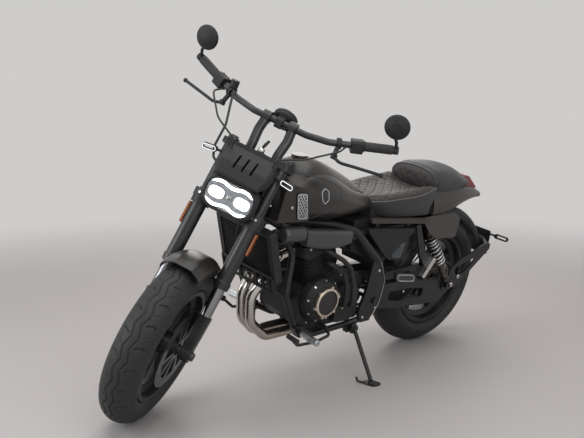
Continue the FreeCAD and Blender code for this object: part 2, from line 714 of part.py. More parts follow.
def main_frame():
    head = turned([(lower_clamp_high + pivot_gap, stem_radius + pivot_gap, 0),
                   (lower_clamp_high + pivot_gap, head_tube_radius + 3, 2),
                   (lower_clamp_high + 22, head_tube_radius + 3, 2),
                   (lower_clamp_high + 26, head_tube_radius, 2),
                   (upper_clamp_low - 26, head_tube_radius, 2),
                   (upper_clamp_low - 22, head_tube_radius + 3, 2),
                   (upper_clamp_low - pivot_gap, head_tube_radius + 3, 2),
                   (upper_clamp_low - pivot_gap, stem_radius + pivot_gap, 0)],
                  Vec(0, fork_offset, 0), Vec(0, 0, 1))
    head = in_fork(head)
    bore = in_fork(rod(Vec(0, fork_offset, lower_clamp_low), Vec(0, fork_offset, 800),
                       stem_radius + pivot_gap))
    pieces = [pipe([tuple(fork(0, -72.5, 642.5)), (0, -230, 764), (0, 20, 680), (0, 88, 640)],
                   19, 120)]
    for side in (-1, 1):
        for run, radius, bend in ((main_run, main_tube_radius, 70), (cradle_run, cradle_radius, 60),
                                  (rail_run, rail_radius, 120)):
            pieces.append(pipe([(side * x, y, z) for x, y, z in run], radius, bend))
        pieces.append(plate(pivot_outline, "x", plate_half if side > 0 else
                            -plate_half - plate_thickness, plate_thickness))
        hanger = [(-266, 458, 5), (-262, 434, 5), (-182, 392, 8), (-176, 418, 8)]
        inner = engine_lug_half + seat_gap
        pieces.append(plate(hanger, "x", inner if side > 0 else -inner - 8, 8))
        for y, z in ((208, 290), (205, 440)):
            pieces.append(rod(Vec(side * (engine_half + seat_gap), y, z),
                              Vec(side * plate_half, y, z), 15))
        for z in (-60, 50):
            foot = radiator_frame.multVec(Vec(side * 118, radiator_depth - 6, z))
            pieces.append(rod(foot, Vec(side * 112, -232, foot.z - 14), 7))
        for y, top in ((220, 690), (420, 668)):
            tab = rectangle(y, (top + 636) / 2, 8, (top - 636) / 2, 2)
            pieces.append(plate(tab, "x", 104 if side > 0 else -panel_inner + seat_gap,
                                panel_inner - seat_gap - 104))
        pieces.append(rod(Vec(side * 100, 610, 646),
                          Vec(side * 100, 610, tail_ceiling - seat_gap), 7))
        pieces.append(plate([(540, 640, 6), (534, 584, 12), (584, 584, 12), (586, 640, 6)], "x",
                            side * 106 - 5, 10))
        pieces.append(rod(Vec(side * 104, shock_top[1], shock_top[2]),
                          Vec(side * (shock_top[0] + 12), shock_top[1], shock_top[2]), 8))
        peg_base = [(-214, 312, 8), (-150, 300, 8), (-140, 262, 10), (-176, 254, 10)]
        pieces.append(plate(peg_base, "x", 128 if side > 0 else -158, 30))
    pieces += both_sides(rod(Vec(112, pod_pin.y, pod_pin.z), pod_pin, pod_pin_radius))
    roof = (tunnel_back - tunnel_front).normalize()
    saddle = tunnel_front + roof * 90 + Vec(0, roof.z, -roof.y) * seat_gap
    pieces.append(rod(saddle + Vec(0, roof.z, -roof.y) * 46, saddle, 13))
    for y, z, radius in (tie_front, tie_upper, tie_lower):
        pieces.append(rod(Vec(-plate_half, y, z), Vec(plate_half, y, z), radius))
    pieces.append(rod(Vec(-136, -256, 446), Vec(136, -256, 446), 10))
    pieces.append(rod(Vec(-108, 560, 640), Vec(108, 560, 640), 11))
    stand_lug = plate([(116, 240, 8), (186, 240, 8), (184, 204, 12), (124, 204, 12)], "x", 114, 17)
    pieces.append(stand_lug)
    bolt_end = plate_half + plate_thickness + 8
    pieces.append(rod(Vec(-plate_half, swing_pivot_y, swing_pivot_z),
                      Vec(plate_half, swing_pivot_y, swing_pivot_z), pivot_bolt_radius))
    for side in (-1, 1):
        pieces.append(rod(Vec(side * plate_half, swing_pivot_y, swing_pivot_z),
                          Vec(side * bolt_end, swing_pivot_y, swing_pivot_z), 15))
    pieces.append(rod(stand_pivot - stand_axis * 22, stand_pivot + stand_axis * 14, 7))
    pieces.append(rod(stand_pivot - stand_axis * 20, stand_pivot - stand_axis * 9.3, 17))
    block = in_radiator(plate(rectangle(0, 0, radiator_half, radiator_height / 2, 0), "y",
                              0, radiator_depth + seat_gap))
    return [fuse([head] + pieces).cut(bore).cut(block)]


shock_top = (128, 561, 600)
shock_low = (146, 725, 378)


block_frame = FreeCAD.Placement(Vec(0, -44, 462), FreeCAD.Rotation(Vec(1, 0, 0), 14))


def in_block(shape):
    shape.Placement = block_frame.multiply(shape.Placement)
    return shape


deck_back = block_frame.multVec(Vec(0, 80, 0))
deck_front = block_frame.multVec(Vec(0, -78, 0))


def engine_cases():
    case = plate([(-158, 310, 20), (-112, 258, 24), (190, 258, 24), (228, 310, 24),
                  (228, 405, 24), (186, 444, 20), (deck_back.y, deck_back.z, 3),
                  (deck_front.y, deck_front.z, 3), (-164, 420, 12)], "x",
                 -engine_half, 2 * engine_half)
    lug = plate([(-196, 388, 10), (-150, 380, 0), (-150, 436, 0), (-196, 424, 10)], "x",
                -engine_lug_half, 2 * engine_lug_half)
    pocket = plate([(128, 280, 10), (240, 280, 0), (240, 400, 0), (128, 400, 10)], "x",
                   chain_line - 14, 60)
    shaft = rod(Vec(chain_line - 15, 190, 340), Vec(chain_line + 10, 190, 340), 14)
    nut = rod(Vec(chain_line - 6, 190, 340), Vec(chain_line + 6, 190, 340),
              front_sprocket_radius - chain_depth / 2)
    return [fuse([case.cut(pocket), lug, shaft, nut])]


def cylinder_block():
    core = plate(rectangle(0, 0, 104, 68, 20), "z", 9, 114)
    base = plate(rectangle(0, 0, 108, 72, 16), "z", seat_gap, 10)
    fins = [plate(rectangle(0, 0, 110, 80, 24), "z", 14 + i * fin_pitch * 0.9, fin_thickness)
            for i in range(9)]
    return [in_block(fuse([core, base] + fins))]


def cylinder_head():
    head = plate(rectangle(0, 0, 108, 78, 18), "z", 123 + seat_gap, 44)
    cover = loft([outline(rectangle(0, 0, 100, 66, 24), "z", 167 + seat_gap),
                  outline(rectangle(0, 0, 76, 50, 20), "z", 204)])
    ports = [rod(Vec(x, -70, 146), Vec(x, -86, 146), 26) for x in (-48, 48)]
    plugs = [rod(Vec(side * 108, 0, 146), Vec(side * 124, 0, 146), 12) for side in (-1, 1)]
    return [in_block(fuse([head, cover] + ports + plugs))]


def left_cover():
    round_case = turned([(engine_half + seat_gap, 0, 0), (engine_half + seat_gap, 94, 2),
                         (engine_half + 30, 92, 10), (engine_half + 50, 76, 8),
                         (engine_half + 54, 66, 0), (engine_half + 54, 0, 0)],
                        Vec(0, ring_centre[0], ring_centre[1]))
    drive = plate([(30, 270, 20), (30, 430, 24), (120, 438, 24), (158, 400, 20),
                   (158, 292, 20), (120, 268, 16)], "x", engine_half + seat_gap, 26)
    return [fuse([round_case, drive])]


ring_centre = (-62, 392)


def ring_cover():
    start = engine_half + 54 + seat_gap
    dome = turned([(start, 0, 0), (start, ring_cover_radius, 2),
                   (start + 14, ring_cover_radius, 3), (start + 15, ring_cover_radius - 9, 0),
                   (start + 10, ring_cover_radius - 10, 0), (start + 12, 0, 0)],
                  Vec(0, ring_centre[0], ring_centre[1]))
    lugs = []
    for i in range(6):
        angle = math.radians(60 * i + 15)
        y = ring_centre[0] + (ring_cover_radius + 3) * math.cos(angle)
        z = ring_centre[1] + (ring_cover_radius + 3) * math.sin(angle)
        lugs.append(rod(Vec(start, y, z), Vec(start + 12, y, z), 6))
    return [fuse([dome] + lugs)]


def right_cover():
    clutch = turned([(-engine_half - seat_gap, 0, 0), (-engine_half - seat_gap, 98, 2),
                     (-engine_half - 36, 96, 12), (-engine_half - 56, 78, 12),
                     (-engine_half - 60, 0, 0)], Vec(0, 40, 375))
    front = turned([(-engine_half - seat_gap, 0, 0), (-engine_half - seat_gap, 64, 2),
                    (-engine_half - 24, 60, 10), (-engine_half - 30, 0, 0)],
                   Vec(0, -90, 360))
    return [fuse([clutch, front])]


def coolant_hoses():
    start = engine_half + 26 + 2 * seat_gap
    top = block_frame.multVec(Vec(124 + seat_gap, 0, 146))
    side = block_frame.multVec(Vec(110 + seat_gap, 20, 78))
    return [pipe([(start, 86, 350), (176, 86, 350), (176, 78, 437), (172, 50, 516), (168, 6, 556),
                  (162, top.y, top.z), (top.x, top.y, top.z)], coolant_hose_radius, 50),
            pipe([(start, 52, 354), (168, 52, 354), (166, 50, 438), (160, 26, 498),
                  (148, side.y, side.z), (side.x, side.y, side.z)], coolant_hose_radius, 40)]


def radiator():
    half = radiator_height / 2
    tank = plate(rectangle(0, 0, radiator_half, half, 10), "y", 0, radiator_depth)
    window = plate(rectangle(0, 0, radiator_half - 22, half - 12, 6), "y", -1, 13)
    pitch = (2 * half - 24) / radiator_slats
    slats = [plate(rectangle(0, -half + 12 + pitch * (i + 0.5), radiator_half - 21, 1.6, 0),
                   "y", 3, 10) for i in range(radiator_slats)]
    core = tank.cut(window)
    cap = rod(Vec(-130, 16, half - 1), Vec(-130, 16, half + 16), 17)
    guard = []
    for z in (guard_high, guard_low):
        guard.append(rod(Vec(-guard_half, -4, z), Vec(guard_half, -4, z), guard_radius))
    for x in (-guard_half, guard_half):
        guard.append(rod(Vec(x, -4, guard_low), Vec(x, -4, guard_high), guard_radius))
    guard_middle = (guard_low + guard_high) / 2
    for x in (47, 88, 126):
        block = plate(rectangle(x, guard_middle, 7, guard_high - guard_middle, 0), "y", -8, 9)
        guard += both_sides(block)
    return [in_radiator(fuse([core, cap] + slats + guard))]


header_run = [(42, -272, 500), (28, -334, 410), (27, -322, 300), (32, -244, 226), (32, -60, 226)]


def exhaust_headers():
    port = block_frame.multVec(Vec(48, -86.3, 146))
    elbow = block_frame.multVec(Vec(48, -86 - 82, 146))
    run = [(port.x, port.y, port.z), (elbow.x, elbow.y, elbow.z)] + header_run
    return [pipe([(side * x, y, z) for x, y, z in run], header_radius, 60)
            for side in (-1, 1)]


def exhaust_collector():
    box = loft([outline(rectangle(0, 226, 82, 22, 18), "y", header_run[-1][1] + seat_gap),
                outline(rectangle(0, 224, 82, 24, 18), "y", 20),
                outline(rectangle(-30, 222, 50, 22, 18), "y", 110)])
    way = muffler_back - muffler_front
    way.normalize()
    bend = muffler_front - way * 60
    link = pipe([(-42, 108, 221), (-46, 180, 206), (-120, 250, 196), (bend.x, bend.y, bend.z),
                 (muffler_front.x, muffler_front.y, muffler_front.z)], header_radius, 60)
    return [fuse([box, link])]


muffler_front = Vec(-192, 372, 244)
muffler_back = Vec(-206, 742, 338)


def muffler():
    way = muffler_back - muffler_front
    length = way.Length
    can = turned([(seat_gap, 0, 0), (seat_gap, 24, 2), (40, 48, 20), (length - 60, 50, 20),
                  (length - 12, 40, 4), (length, 38, 2), (length, 17, 0),
                  (length - 60, 17, 0), (length - 60, 0, 0)], muffler_front, way)
    return [can]


tank_rows = [(-292, 70, 748, 108, 800, 80, 850, 880), (-236, 112, 738, 148, 800, 106, 880, 918),
             (-140, 128, 730, 160, 800, 106, 900, 951), (-20, 120, 724, 150, 784, 98, 868, 914),
             (80, 100, 720, 130, 765, 88, 818, 864), (140, 84, 718, 112, 757, 76, 796, 830),
             (196, 68, 716, 90, 748, 58, 770, 792)]


def fuel_tank():
    shell = loft([hoop(*row) for row in tank_rows])
    tunnel = plate([(-310, 680, 0), (tunnel_back.y, 680, 0), (tunnel_back.y, tunnel_back.z, 0),
                    (tunnel_front.y, tunnel_front.z, 0), (-310, 866, 0)], "x", -66, 132)
    cap = rod(Vec(0, -150, 930), Vec(0, -150, 954), 32)
    return [fuse([shell, cap]).cut(tunnel)]


def tank_shrouds(tank):
    block = plate([(-366, 748, 8), (-204, 738, 8), (-224, 862, 14), (-300, 884, 14),
                   (-338, 868, 14)], "x", 100, shroud_outer - 100)
    return both_sides(block.cut(tank))


def tank_inserts():
    strip = plate([(-268, 750, 10), (-216, 746, 10), (-234, 852, 10), (-285, 856, 10)], "x",
                  shroud_outer + seat_gap, 4)
    return both_sides(strip)


def side_canisters():
    can = turned([(0, 0, 0), (0, 24, 6), (10, 30, 3), (98, 30, 3), (100, 26, 0), (100, 0, 0)],
                 Vec(142, -318, 694), Vec(0, 1, -0.06))
    return both_sides(can)


def side_pods():
    pod = loft([outline(rectangle(150, 676, 24, 32, 16), "y", -217),
                outline(rectangle(154, 660, 27, 38, 18), "y", -130),
                outline(rectangle(151, 648, 18, 26, 12), "y", 34)])
    socket = rod(Vec(100, pod_pin.y, pod_pin.z), pod_pin + Vec(seat_gap, 0, 0),
                 pod_pin_radius + seat_gap)
    return both_sides(pod.cut(socket))


seat_rows = [(196.3, 64, 712, 88, 745, 60, 764, 784), (260, 108, 700, 126, 738, 96, 772, 794),
             (340, 122, 690, 140, 732, 112, 776, 812), (420, 126, 684, 144, 732, 116, 782, 828),
             (520, 124, 676, 142, 730, 112, 792, 842), (572, 112, 671, 130, 726, 100, 796, 846)]
pillion_rows = [(548, 98, 772, 114, 822, 96, 846, 862), (600, 106, 766, 124, 822, 104, 858, 880),
                (680, 102, 761, 118, 815, 96, 846, 871), (770, 92, 761, 108, 804, 84, 828, 853),
                (874, 58, 757, 76, 784, 56, 796, 809)]
tail_rows = [(576, 122, 648, 128, 700, 104, 768, 771), (660, 118, 654, 124, 704, 100, 767, 770),
             (760, 98, 672, 114, 718, 92, 765, 769), (880, 66, 690, 92, 728, 68, 758, 766),
             (1004, 36, 700, 60, 710, 44, 720, 726)]


def rider_seat():
    return [loft([hoop(*row) for row in seat_rows])]


def pillion_seat(seat, tail):
    cushion = loft([hoop(*row) for row in pillion_rows])
    below = tail.copy()
    below.translate(Vec(0, 0, seat_gap))
    ahead = seat.copy()
    ahead.translate(Vec(0, seat_gap, seat_gap))
    return [cushion.cut(below).cut(ahead)]


def tail_cowl():
    shell = loft([hoop(*row) for row in tail_rows])
    under = plate([(500, 600, 0), (900, 600, 0), (900, tail_ceiling, 0), (500, tail_ceiling, 0)],
                  "x", -119.5, 239)
    return [shell.cut(under)]


def tail_lamp(tail):
    wedge = plate([(876, 750, 0), (880, 808, 8), (904, 802, 8), (976, 744, 8), (960, 730, 0)],
                  "x", -48, 96)
    return [wedge.cut(tail)]


def side_covers():
    panel = plate([(138, 664, 8), (452, 632, 12), (440, 612, 12), (298, 514, 14),
                   (284, 522, 10)], "x", panel_inner, 18)
    return both_sides(panel)


def side_trim():
    band = plate([(166, 704, 6), (166, 684, 4), (520, 644, 6), (560, 650, 8), (520, 668, 4)],
                 "x", panel_inner, 16)
    hinge = Vec(panel_inner + 2, 0, 668)
    skirt = plate([(500, 668, 4), (540, 592, 12), (584, 567, 12), (712, 560, 14), (764, 640, 14),
                   (730, 668, 8)], "x", hinge.x, skirt_wall)
    skirt.rotate(hinge, Vec(0, 1, 0), -skirt_flare)
    return both_sides(fuse([band, skirt]))


def battery_box(seat):
    floor = tie_upper[1] + tie_upper[2] + seat_gap
    box = plate([(112, 690, 10), (200, 690, 0), (200, 730, 0), (385, 710, 0),
                 (385, 560, 30), (330, 470, 20), (280, 446, 10), (264, floor, 4),
                 (228, floor, 4), (112, 560, 10)], "x", -96, 192)
    cushion = seat.copy()
    cushion.translate(Vec(0, 0, -seat_gap))
    return [box.cut(cushion)]


def inner_fender(tail):
    outer = rear_radius + 26
    inner = outer - 4
    wide = rear_half + 9
    profile = [(-wide, inner - 40, 0), (-wide + 4, inner - 40, 0), (-wide + 4, inner - 12, 20),
               (-wide * 0.6, inner, 30), (wide * 0.6, inner, 30), (wide - 4, inner - 12, 20),
               (wide - 4, inner - 40, 0), (wide, inner - 40, 0), (wide, inner - 10, 22),
               (wide * 0.63, outer, 32), (-wide * 0.63, outer, 32), (-wide, inner - 10, 22)]
    shell = turned(profile, Vec(0, 0, 0), Vec(1, 0, 0), 130)
    shell.rotate(Vec(0, 0, 0), Vec(1, 0, 0), -62)
    shell.translate(rear_axle)
    low = rear_axle.z + inner - 32
    pad = plate([(690, low, 0), (780, low, 0), (780, 700, 0), (690, 700, 0)], "x", -40, 80)
    below = tail.copy()
    below.translate(Vec(0, 0, -seat_gap))
    wheel_room = rod(rear_axle - Vec(60, 0, 0), rear_axle + Vec(60, 0, 0), inner)
    return [fuse([shell, pad.cut(below).cut(wheel_room)])]


arm_outline = [(230, 308, 20), (232, 366, 26), (300, 392, 20), (470, 384, 20),
               (640, 356, 30), (790, 356, 26), (800, 296, 26), (716, 240, 30),
               (420, 262, 40), (300, 282, 30)]
arm_window = [(360, 350, 12), (500, 344, 12), (600, 326, 12), (590, 290, 12),
              (430, 294, 14), (360, 310, 12)]


def swingarm():
    arm = plate(arm_outline, "x", arm_inner, arm_thickness)
    arm = arm.cut(plate(arm_window, "x", arm_inner - 1, arm_thickness + 2))
    tube = rod(Vec(-arm_inner, 344, 334), Vec(arm_inner, 344, 334), 20)
    axle_hole = rod(Vec(-200, rear_axle_y, rear_radius), Vec(200, rear_axle_y, rear_radius),
                    axle_radius + seat_gap)
    pivot_hole = rod(Vec(-200, swing_pivot_y, swing_pivot_z),
                     Vec(200, swing_pivot_y, swing_pivot_z), 9 + fit)
    pins = [rod(Vec(side * (arm_inner + arm_thickness - 1), shock_low[1], shock_low[2] - 18),
                Vec(side * 160, shock_low[1], shock_low[2] - 18), 8) for side in (-1, 1)]
    brake_lug = plate([(640, 340, 0), (650, 398, 10), (704, 408, 10), (740, 340, 0)], "x",
                      -arm_inner - 10, 10)
    body = fuse([arm, mirrored(arm), tube, brake_lug] + pins)
    return [body.cut(axle_hole).cut(pivot_hole)]


def shock_points(side):
    top = Vec(side * 128, shock_top[1], shock_top[2])
    low = Vec(side * 147, shock_low[1], shock_low[2] - 18)
    return top, low


def rear_shocks():
    pieces = []
    for side in (-1, 1):
        top, low = shock_points(side)
        way = low - top
        length = way.Length
        body = turned([(-2, 0, 0), (-2, 15, 4), (22, 15, 2), (24, 27, 2), (32, 27, 2),
                       (33, 19, 0), (150, 19, 2), (152, 9, 0), (192, 9, 0), (193, 26, 2),
                       (200, 26, 2), (206, 14, 2), (length, 12, 4), (length, 0, 0)], top, way)
        eyes = [rod(Vec(p.x - side * 11, p.y, p.z), Vec(p.x + side * 11, p.y, p.z), 16)
                for p in (top, low)]
        holes = [rod(Vec(p.x - 40, p.y, p.z), Vec(p.x + 40, p.y, p.z), 8 + seat_gap)
                 for p in (top, low)]
        pieces.append(fuse([body] + eyes).cut(Part.makeCompound(holes)))
    return pieces


def shock_springs():
    pieces = []
    turns = 8
    start = 34.0
    pitch = (193 - seat_gap - start) / turns
    for side in (-1, 1):
        top, low = shock_points(side)
        profile = [(start, 20, 0), (start, 25, 0)]
        for i in range(turns):
            profile.append((start + pitch * (i + 0.5), 31, 0))
            profile.append((start + pitch * (i + 1), 25, 0))
        profile.append((start + pitch * turns, 20, 0))
        pieces.append(turned(profile, top, low - top))
    return pieces


def chain():
    front = Vec(chain_line - chain_width / 2, 190, 340)
    back = Vec(chain_line - chain_width / 2, rear_axle_y, rear_radius)
    centres = front.distanceToPoint(back)
    slope = math.atan2(back.z - front.z, back.y - front.y)
    bands = []
    for half in (chain_depth / 2, -chain_depth / 2):
        big = sprocket_radius + 6 + half
        small = front_sprocket_radius + seat_gap + half
        lift = math.asin((big - small) / centres)
        up_dir = slope + math.pi / 2 + lift
        low_dir = slope - math.pi / 2 - lift
        def at(centre, radius, angle):
            return centre + Vec(0, radius * math.cos(angle), radius * math.sin(angle))
        wire = Part.Wire([
            Part.Arc(at(front, small, low_dir), at(front, small, slope + math.pi),
                     at(front, small, up_dir)).toShape(),
            Part.LineSegment(at(front, small, up_dir), at(back, big, up_dir)).toShape(),
            Part.Arc(at(back, big, up_dir), at(back, big, slope), at(back, big, low_dir)).toShape(),
            Part.LineSegment(at(back, big, low_dir), at(front, small, low_dir)).toShape()])
        bands.append(Part.Face(wire).extrude(Vec(chain_width, 0, 0)))
    return [bands[0].cut(bands[1])]


def chain_guard():
    cover = plate([(318, 442, 10), (500, 448, 14), (560, 430, 20), (640, 392, 14),
                   (640, 376, 4), (470, 400, 6), (330, 406, 8)], "x", arm_inner + 8, 12)
    slot = plate([(384, 414, 5), (484, 414, 5), (484, 426, 5), (384, 424, 5)], "x", arm_inner, 30)
    foot = plate([(400, 387.8, 0), (440, 386, 0), (440, 404, 0), (400, 404, 0)], "x",
                 arm_inner + 8, 12)
    return [fuse([cover.cut(slot), foot])]


def rear_caliper():
    body = caliper(-rear_disc_inset, rear_disc_radius, -arm_inner + seat_gap,
                   -rear_disc_inset + 20, -35, 34, 34)
    body.translate(rear_axle)
    return [body]


def plate_bracket():
    left = arm_inner + arm_thickness + seat_gap
    arm = plate([(722, 300, 20), (722, 338, 14), (754, 346, 8), (766, 396, 20), (830, 434, 40),
                 (900, 452, 40), (1000, 486, 10), (1046, 486, 10), (1046, 456, 10),
                 (940, 380, 40), (850, 308, 30), (760, 290, 20)], "x", left, 8)
    hole = rod(Vec(left - 1, rear_axle_y, rear_radius), Vec(left + 10, rear_axle_y, rear_radius),
               axle_head_radius + 2)
    cut = plate([(800, 350, 14), (800, 396, 14), (900, 420, 14), (960, 430, 12), (880, 366, 16)],
                "x", left - 1, 10)
    plate_back = plate(rectangle(0, 460, 88, 60, 8), "y", 1110, 6)
    return [fuse([arm.cut(hole).cut(cut), pipe([(left + 4, 1028, 472), (60, 1102, 480),
                                                (-120, 1102, 480)], 9, 40), plate_back])]


def number_plate():
    return [plate(rectangle(0, 460, 84, 56, 8), "y", 1116 + seat_gap, 2)]


def rear_indicators():
    left = indicator(Vec(88.3, 1110, 506), Vec(192, 1110, 508), 11, 12)
    return both_sides(left)


def rider_pegs():
    peg = turned([(0, 0, 0), (0, 9, 1), (18, 9, 1), (20, 14, 2), (112, 13, 4), (112, 0, 0)],
                 Vec(158.8, -178, 286), Vec(1, -0.05, -0.03))
    return both_sides(peg)


def gear_lever():
    arm = pipe([(146, -20, 262), (184, -30, 250), (200, -120, 246), (202, -222, 254),
                (202, -270, 300)], 6, 24)
    boot = rod(Vec(194, -270, 300), Vec(250, -272, 300), 10)
    hub = rod(Vec(engine_half + seat_gap, -20, 266), Vec(152, -20, 266), 9)
    return [fuse([arm, boot, hub])]


def brake_pedal():
    arm = pipe([(-146, -20, 262), (-184, -30, 250), (-200, -120, 246), (-202, -222, 254),
                (-202, -280, 304)], 6, 24)
    pad = rod(Vec(-194, -280, 304), Vec(-246, -282, 304), 12)
    hub = rod(Vec(-engine_half - seat_gap, -20, 266), Vec(-152, -20, 266), 9)
    return [fuse([arm, pad, hub])]


def passenger_pegs():
    left = rail_run[2][0] + rail_radius + 8
    hanger = plate([(456, 645, 8), (486, 642, 8), (552, 510, 20), (606, 478, 12), (594, 440, 12),
                    (562, 440, 12), (514, 500, 30)], "x", left + 8, 8)
    foot = rod(Vec(121, 470, 634), Vec(left + 9, 470, 634), 9)
    peg = plate([(530, 400, 8), (552, 392, 8), (614, 472, 8), (594, 486, 8)], "x",
                left + 16 + seat_gap, 20)
    return both_sides(fuse([hanger, foot])) + both_sides(peg)


# Wheels, brakes and axles, each drawn round its own axle line
def front_tyre():
    return [tyre(front_axle, front_radius, front_half, front_tyre_height)]


def front_rim():
    return [rim(front_axle, front_half, front_radius - front_tyre_height,
                disc_inset - disc_thickness / 2, front_hub_right)]


def front_disc():
    return [brake_disc(front_axle, disc_inset, disc_radius, 24)]


def front_axle_bar():
    reach = leg_half + foot_width / 2 + 12 + seat_gap
    foot = leg_half - foot_width / 2
    bar = axle(front_axle, reach, reach)
    sleeves = wheel_spacers(front_axle, [(disc_inset + disc_thickness / 2 + pivot_gap,
                                          foot - seat_gap),
                                         (-front_hub_right - pivot_gap, -foot + seat_gap)])
    return [bar] + sleeves


def rear_tyre():
    return [tyre(rear_axle, rear_radius, rear_half, rear_tyre_height)]


def rear_rim():
    return [rim(rear_axle, rear_half, rear_radius - rear_tyre_height,
                chain_line - sprocket_thickness / 2, rear_disc_inset - disc_thickness / 2)]


def rear_disc():
    return [brake_disc(rear_axle, -rear_disc_inset, rear_disc_radius, 24)]


def rear_sprocket():
    return [sprocket()]


def rear_axle_bar():
    reach = arm_inner + arm_thickness + 16
    bar = axle(rear_axle, reach + 9, reach)
    sleeves = wheel_spacers(rear_axle, [(chain_line + sprocket_thickness / 2 + pivot_gap,
                                         arm_inner),
                                        (-rear_disc_inset - disc_thickness / 2 - pivot_gap,
                                         -arm_inner)])
    return [bar] + sleeves


# Parked pose: steer about the head, lean, then pitch until both tyres meet the floor
steer_pose = FreeCAD.Placement(Vec(0, 0, 0), FreeCAD.Rotation(steer_axis, steer_stop), steer_low)


def tyre_low(point, way, radius, half):
    crown = half + 2
    return point.z - (radius - crown) * math.sqrt(1 - way.z ** 2) - crown


def parked_pose():
    pitch = 0.0
    for i in range(6):
        turn = FreeCAD.Rotation(Vec(0, 1, 0), lean).multiply(
            FreeCAD.Rotation(Vec(1, 0, 0), pitch))
        pose = FreeCAD.Placement(Vec(0, 0, 0), turn)
        front = pose.multiply(steer_pose)
        front_low = tyre_low(front.multVec(front_axle), front.Rotation.multVec(Vec(1, 0, 0)),
                             front_radius, front_half)
        rear_low = tyre_low(pose.multVec(rear_axle), turn.multVec(Vec(1, 0, 0)),
                            rear_radius, rear_half)
        pitch += math.degrees((front_low - rear_low) / wheel_base)
    pose.Base = Vec(0, 0, -rear_low)
    return pose


pose = parked_pose()
stand_foot_x = 341.0
stand_foot_y = 101.0


# The stand is drawn on the floor in the parked pose and brought back upright
def side_stand():
    pivot = pose.multVec(stand_pivot)
    foot = Vec(stand_foot_x, stand_foot_y, 0)
    ankle = foot + Vec(-6, 0, 12)
    way = ankle - pivot
    way.normalize()
    leg = rod(pivot + way * 4, ankle, 8.8, 8.5)
    sole = plate([(-38, -26, 20), (34, -26, 20), (34, 26, 20), (-38, 26, 20)], "z", 0, 6)
    sole.translate(foot)
    web = rod(foot + Vec(-6, 0, 5), ankle, 15, 10)
    tang = pipe([tuple(foot + Vec(-28, -20, 5)), tuple(foot + Vec(-40, -44, 12)),
                 tuple(foot + Vec(-30, -60, 34))], 4.5, 20)
    solid = fuse([leg, sole, web, tang])
    solid.Placement = pose.inverse().multiply(solid.Placement)
    eye = rod(stand_pivot - stand_axis * 9, stand_pivot + stand_axis * 9, 16)
    hole = rod(stand_pivot - stand_axis * 12, stand_pivot + stand_axis * 12, 7 + seat_gap)
    return [fuse([solid, eye]).cut(hole)]


# Nodes by body
tank = fuel_tank()[0]
seat = rider_seat()[0]
tail = tail_cowl()[0]
still = {
    "main_frame": main_frame(), "engine_cases": engine_cases(),
    "cylinders": cylinder_block() + cylinder_head(),
    "engine_covers": left_cover() + right_cover(), "ring_cover": ring_cover(),
    "coolant_hose": coolant_hoses(), "radiator": radiator(),
    "exhaust_headers": exhaust_headers(), "muffler": exhaust_collector() + muffler(),
    "fuel_tank": [tank], "tank_shrouds": tank_shrouds(tank),
    "tank_inserts": tank_inserts(), "side_pods": side_canisters() + side_pods(),
    "rider_seat": [seat], "pillion_seat": pillion_seat(seat, tail),
    "tail_cowl": [tail], "tail_lamp": tail_lamp(tail), "side_covers": side_covers(),
    "side_trim": side_trim(), "battery_box": battery_box(seat),
    "inner_fender": inner_fender(tail),
    "swingarm": swingarm(), "rear_shocks": rear_shocks(), "shock_springs": shock_springs(),
    "chain": chain(), "chain_guard": chain_guard(), "rear_caliper": rear_caliper(),
    "plate_bracket": plate_bracket(), "number_plate": number_plate(),
    "rear_indicators": rear_indicators(),
    "foot_controls": rider_pegs() + gear_lever() + brake_pedal(),
    "passenger_pegs": passenger_pegs(), "rear_axle": rear_axle_bar()}
steered = {
    "fork_sliders": fork_sliders(), "fork_stanchions": fork_stanchions(),
    "fork_feet": fork_feet(), "triple_clamps": triple_clamps(),
    "front_fender": front_fender(), "handlebar": handlebar() + risers(),
    "grips": grips(), "bar_controls": switch_boxes() + levers(),
    "mirrors": mirrors(), "gauge": gauge(), "cables": cables(), "reflectors": reflectors(),
    "headlamp": headlamp() + headlamp_cowl(), "headlamp_lens": headlamp_lens(),
    "front_indicators": front_indicators(headlamp_cowl()[0]),
    "front_caliper": front_caliper(), "front_axle": front_axle_bar()}
front_rolling = {"front_tyre": front_tyre(), "front_rim": front_rim(),
                 "front_disc": front_disc()}
rear_rolling = {"rear_tyre": rear_tyre(), "rear_rim": rear_rim(),
                "rear_disc": rear_disc() + rear_sprocket()}
standing = {"side_stand": side_stand()}

steered_pose = pose.multiply(steer_pose)
placed_nodes = {}
for group, placement in ((still, pose), (steered, steered_pose),
                         (front_rolling, steered_pose), (rear_rolling, pose), (standing, pose)):
    for name, solids in group.items():
        shape = Part.makeCompound(solids) if len(solids) > 1 else solids[0]
        shape.Placement = placement.multiply(shape.Placement)
        placed_nodes[name] = shape

box = FreeCAD.BoundBox()
for shape in placed_nodes.values():
    box.add(shape.optimalBoundingBox(False, False))
shift = Vec(-(box.XMin + box.XMax) / 2, -(box.YMin + box.YMax) / 2, 0)

os.makedirs("parts", exist_ok=True)
for name, shape in placed_nodes.items():
    shape.translate(shift)
    shape.exportStep("parts/" + name + ".step")
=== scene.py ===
import bmesh
import bpy
import math
import numpy as np
from mathutils import Matrix, Vector
from mathutils.bvhtree import BVHTree


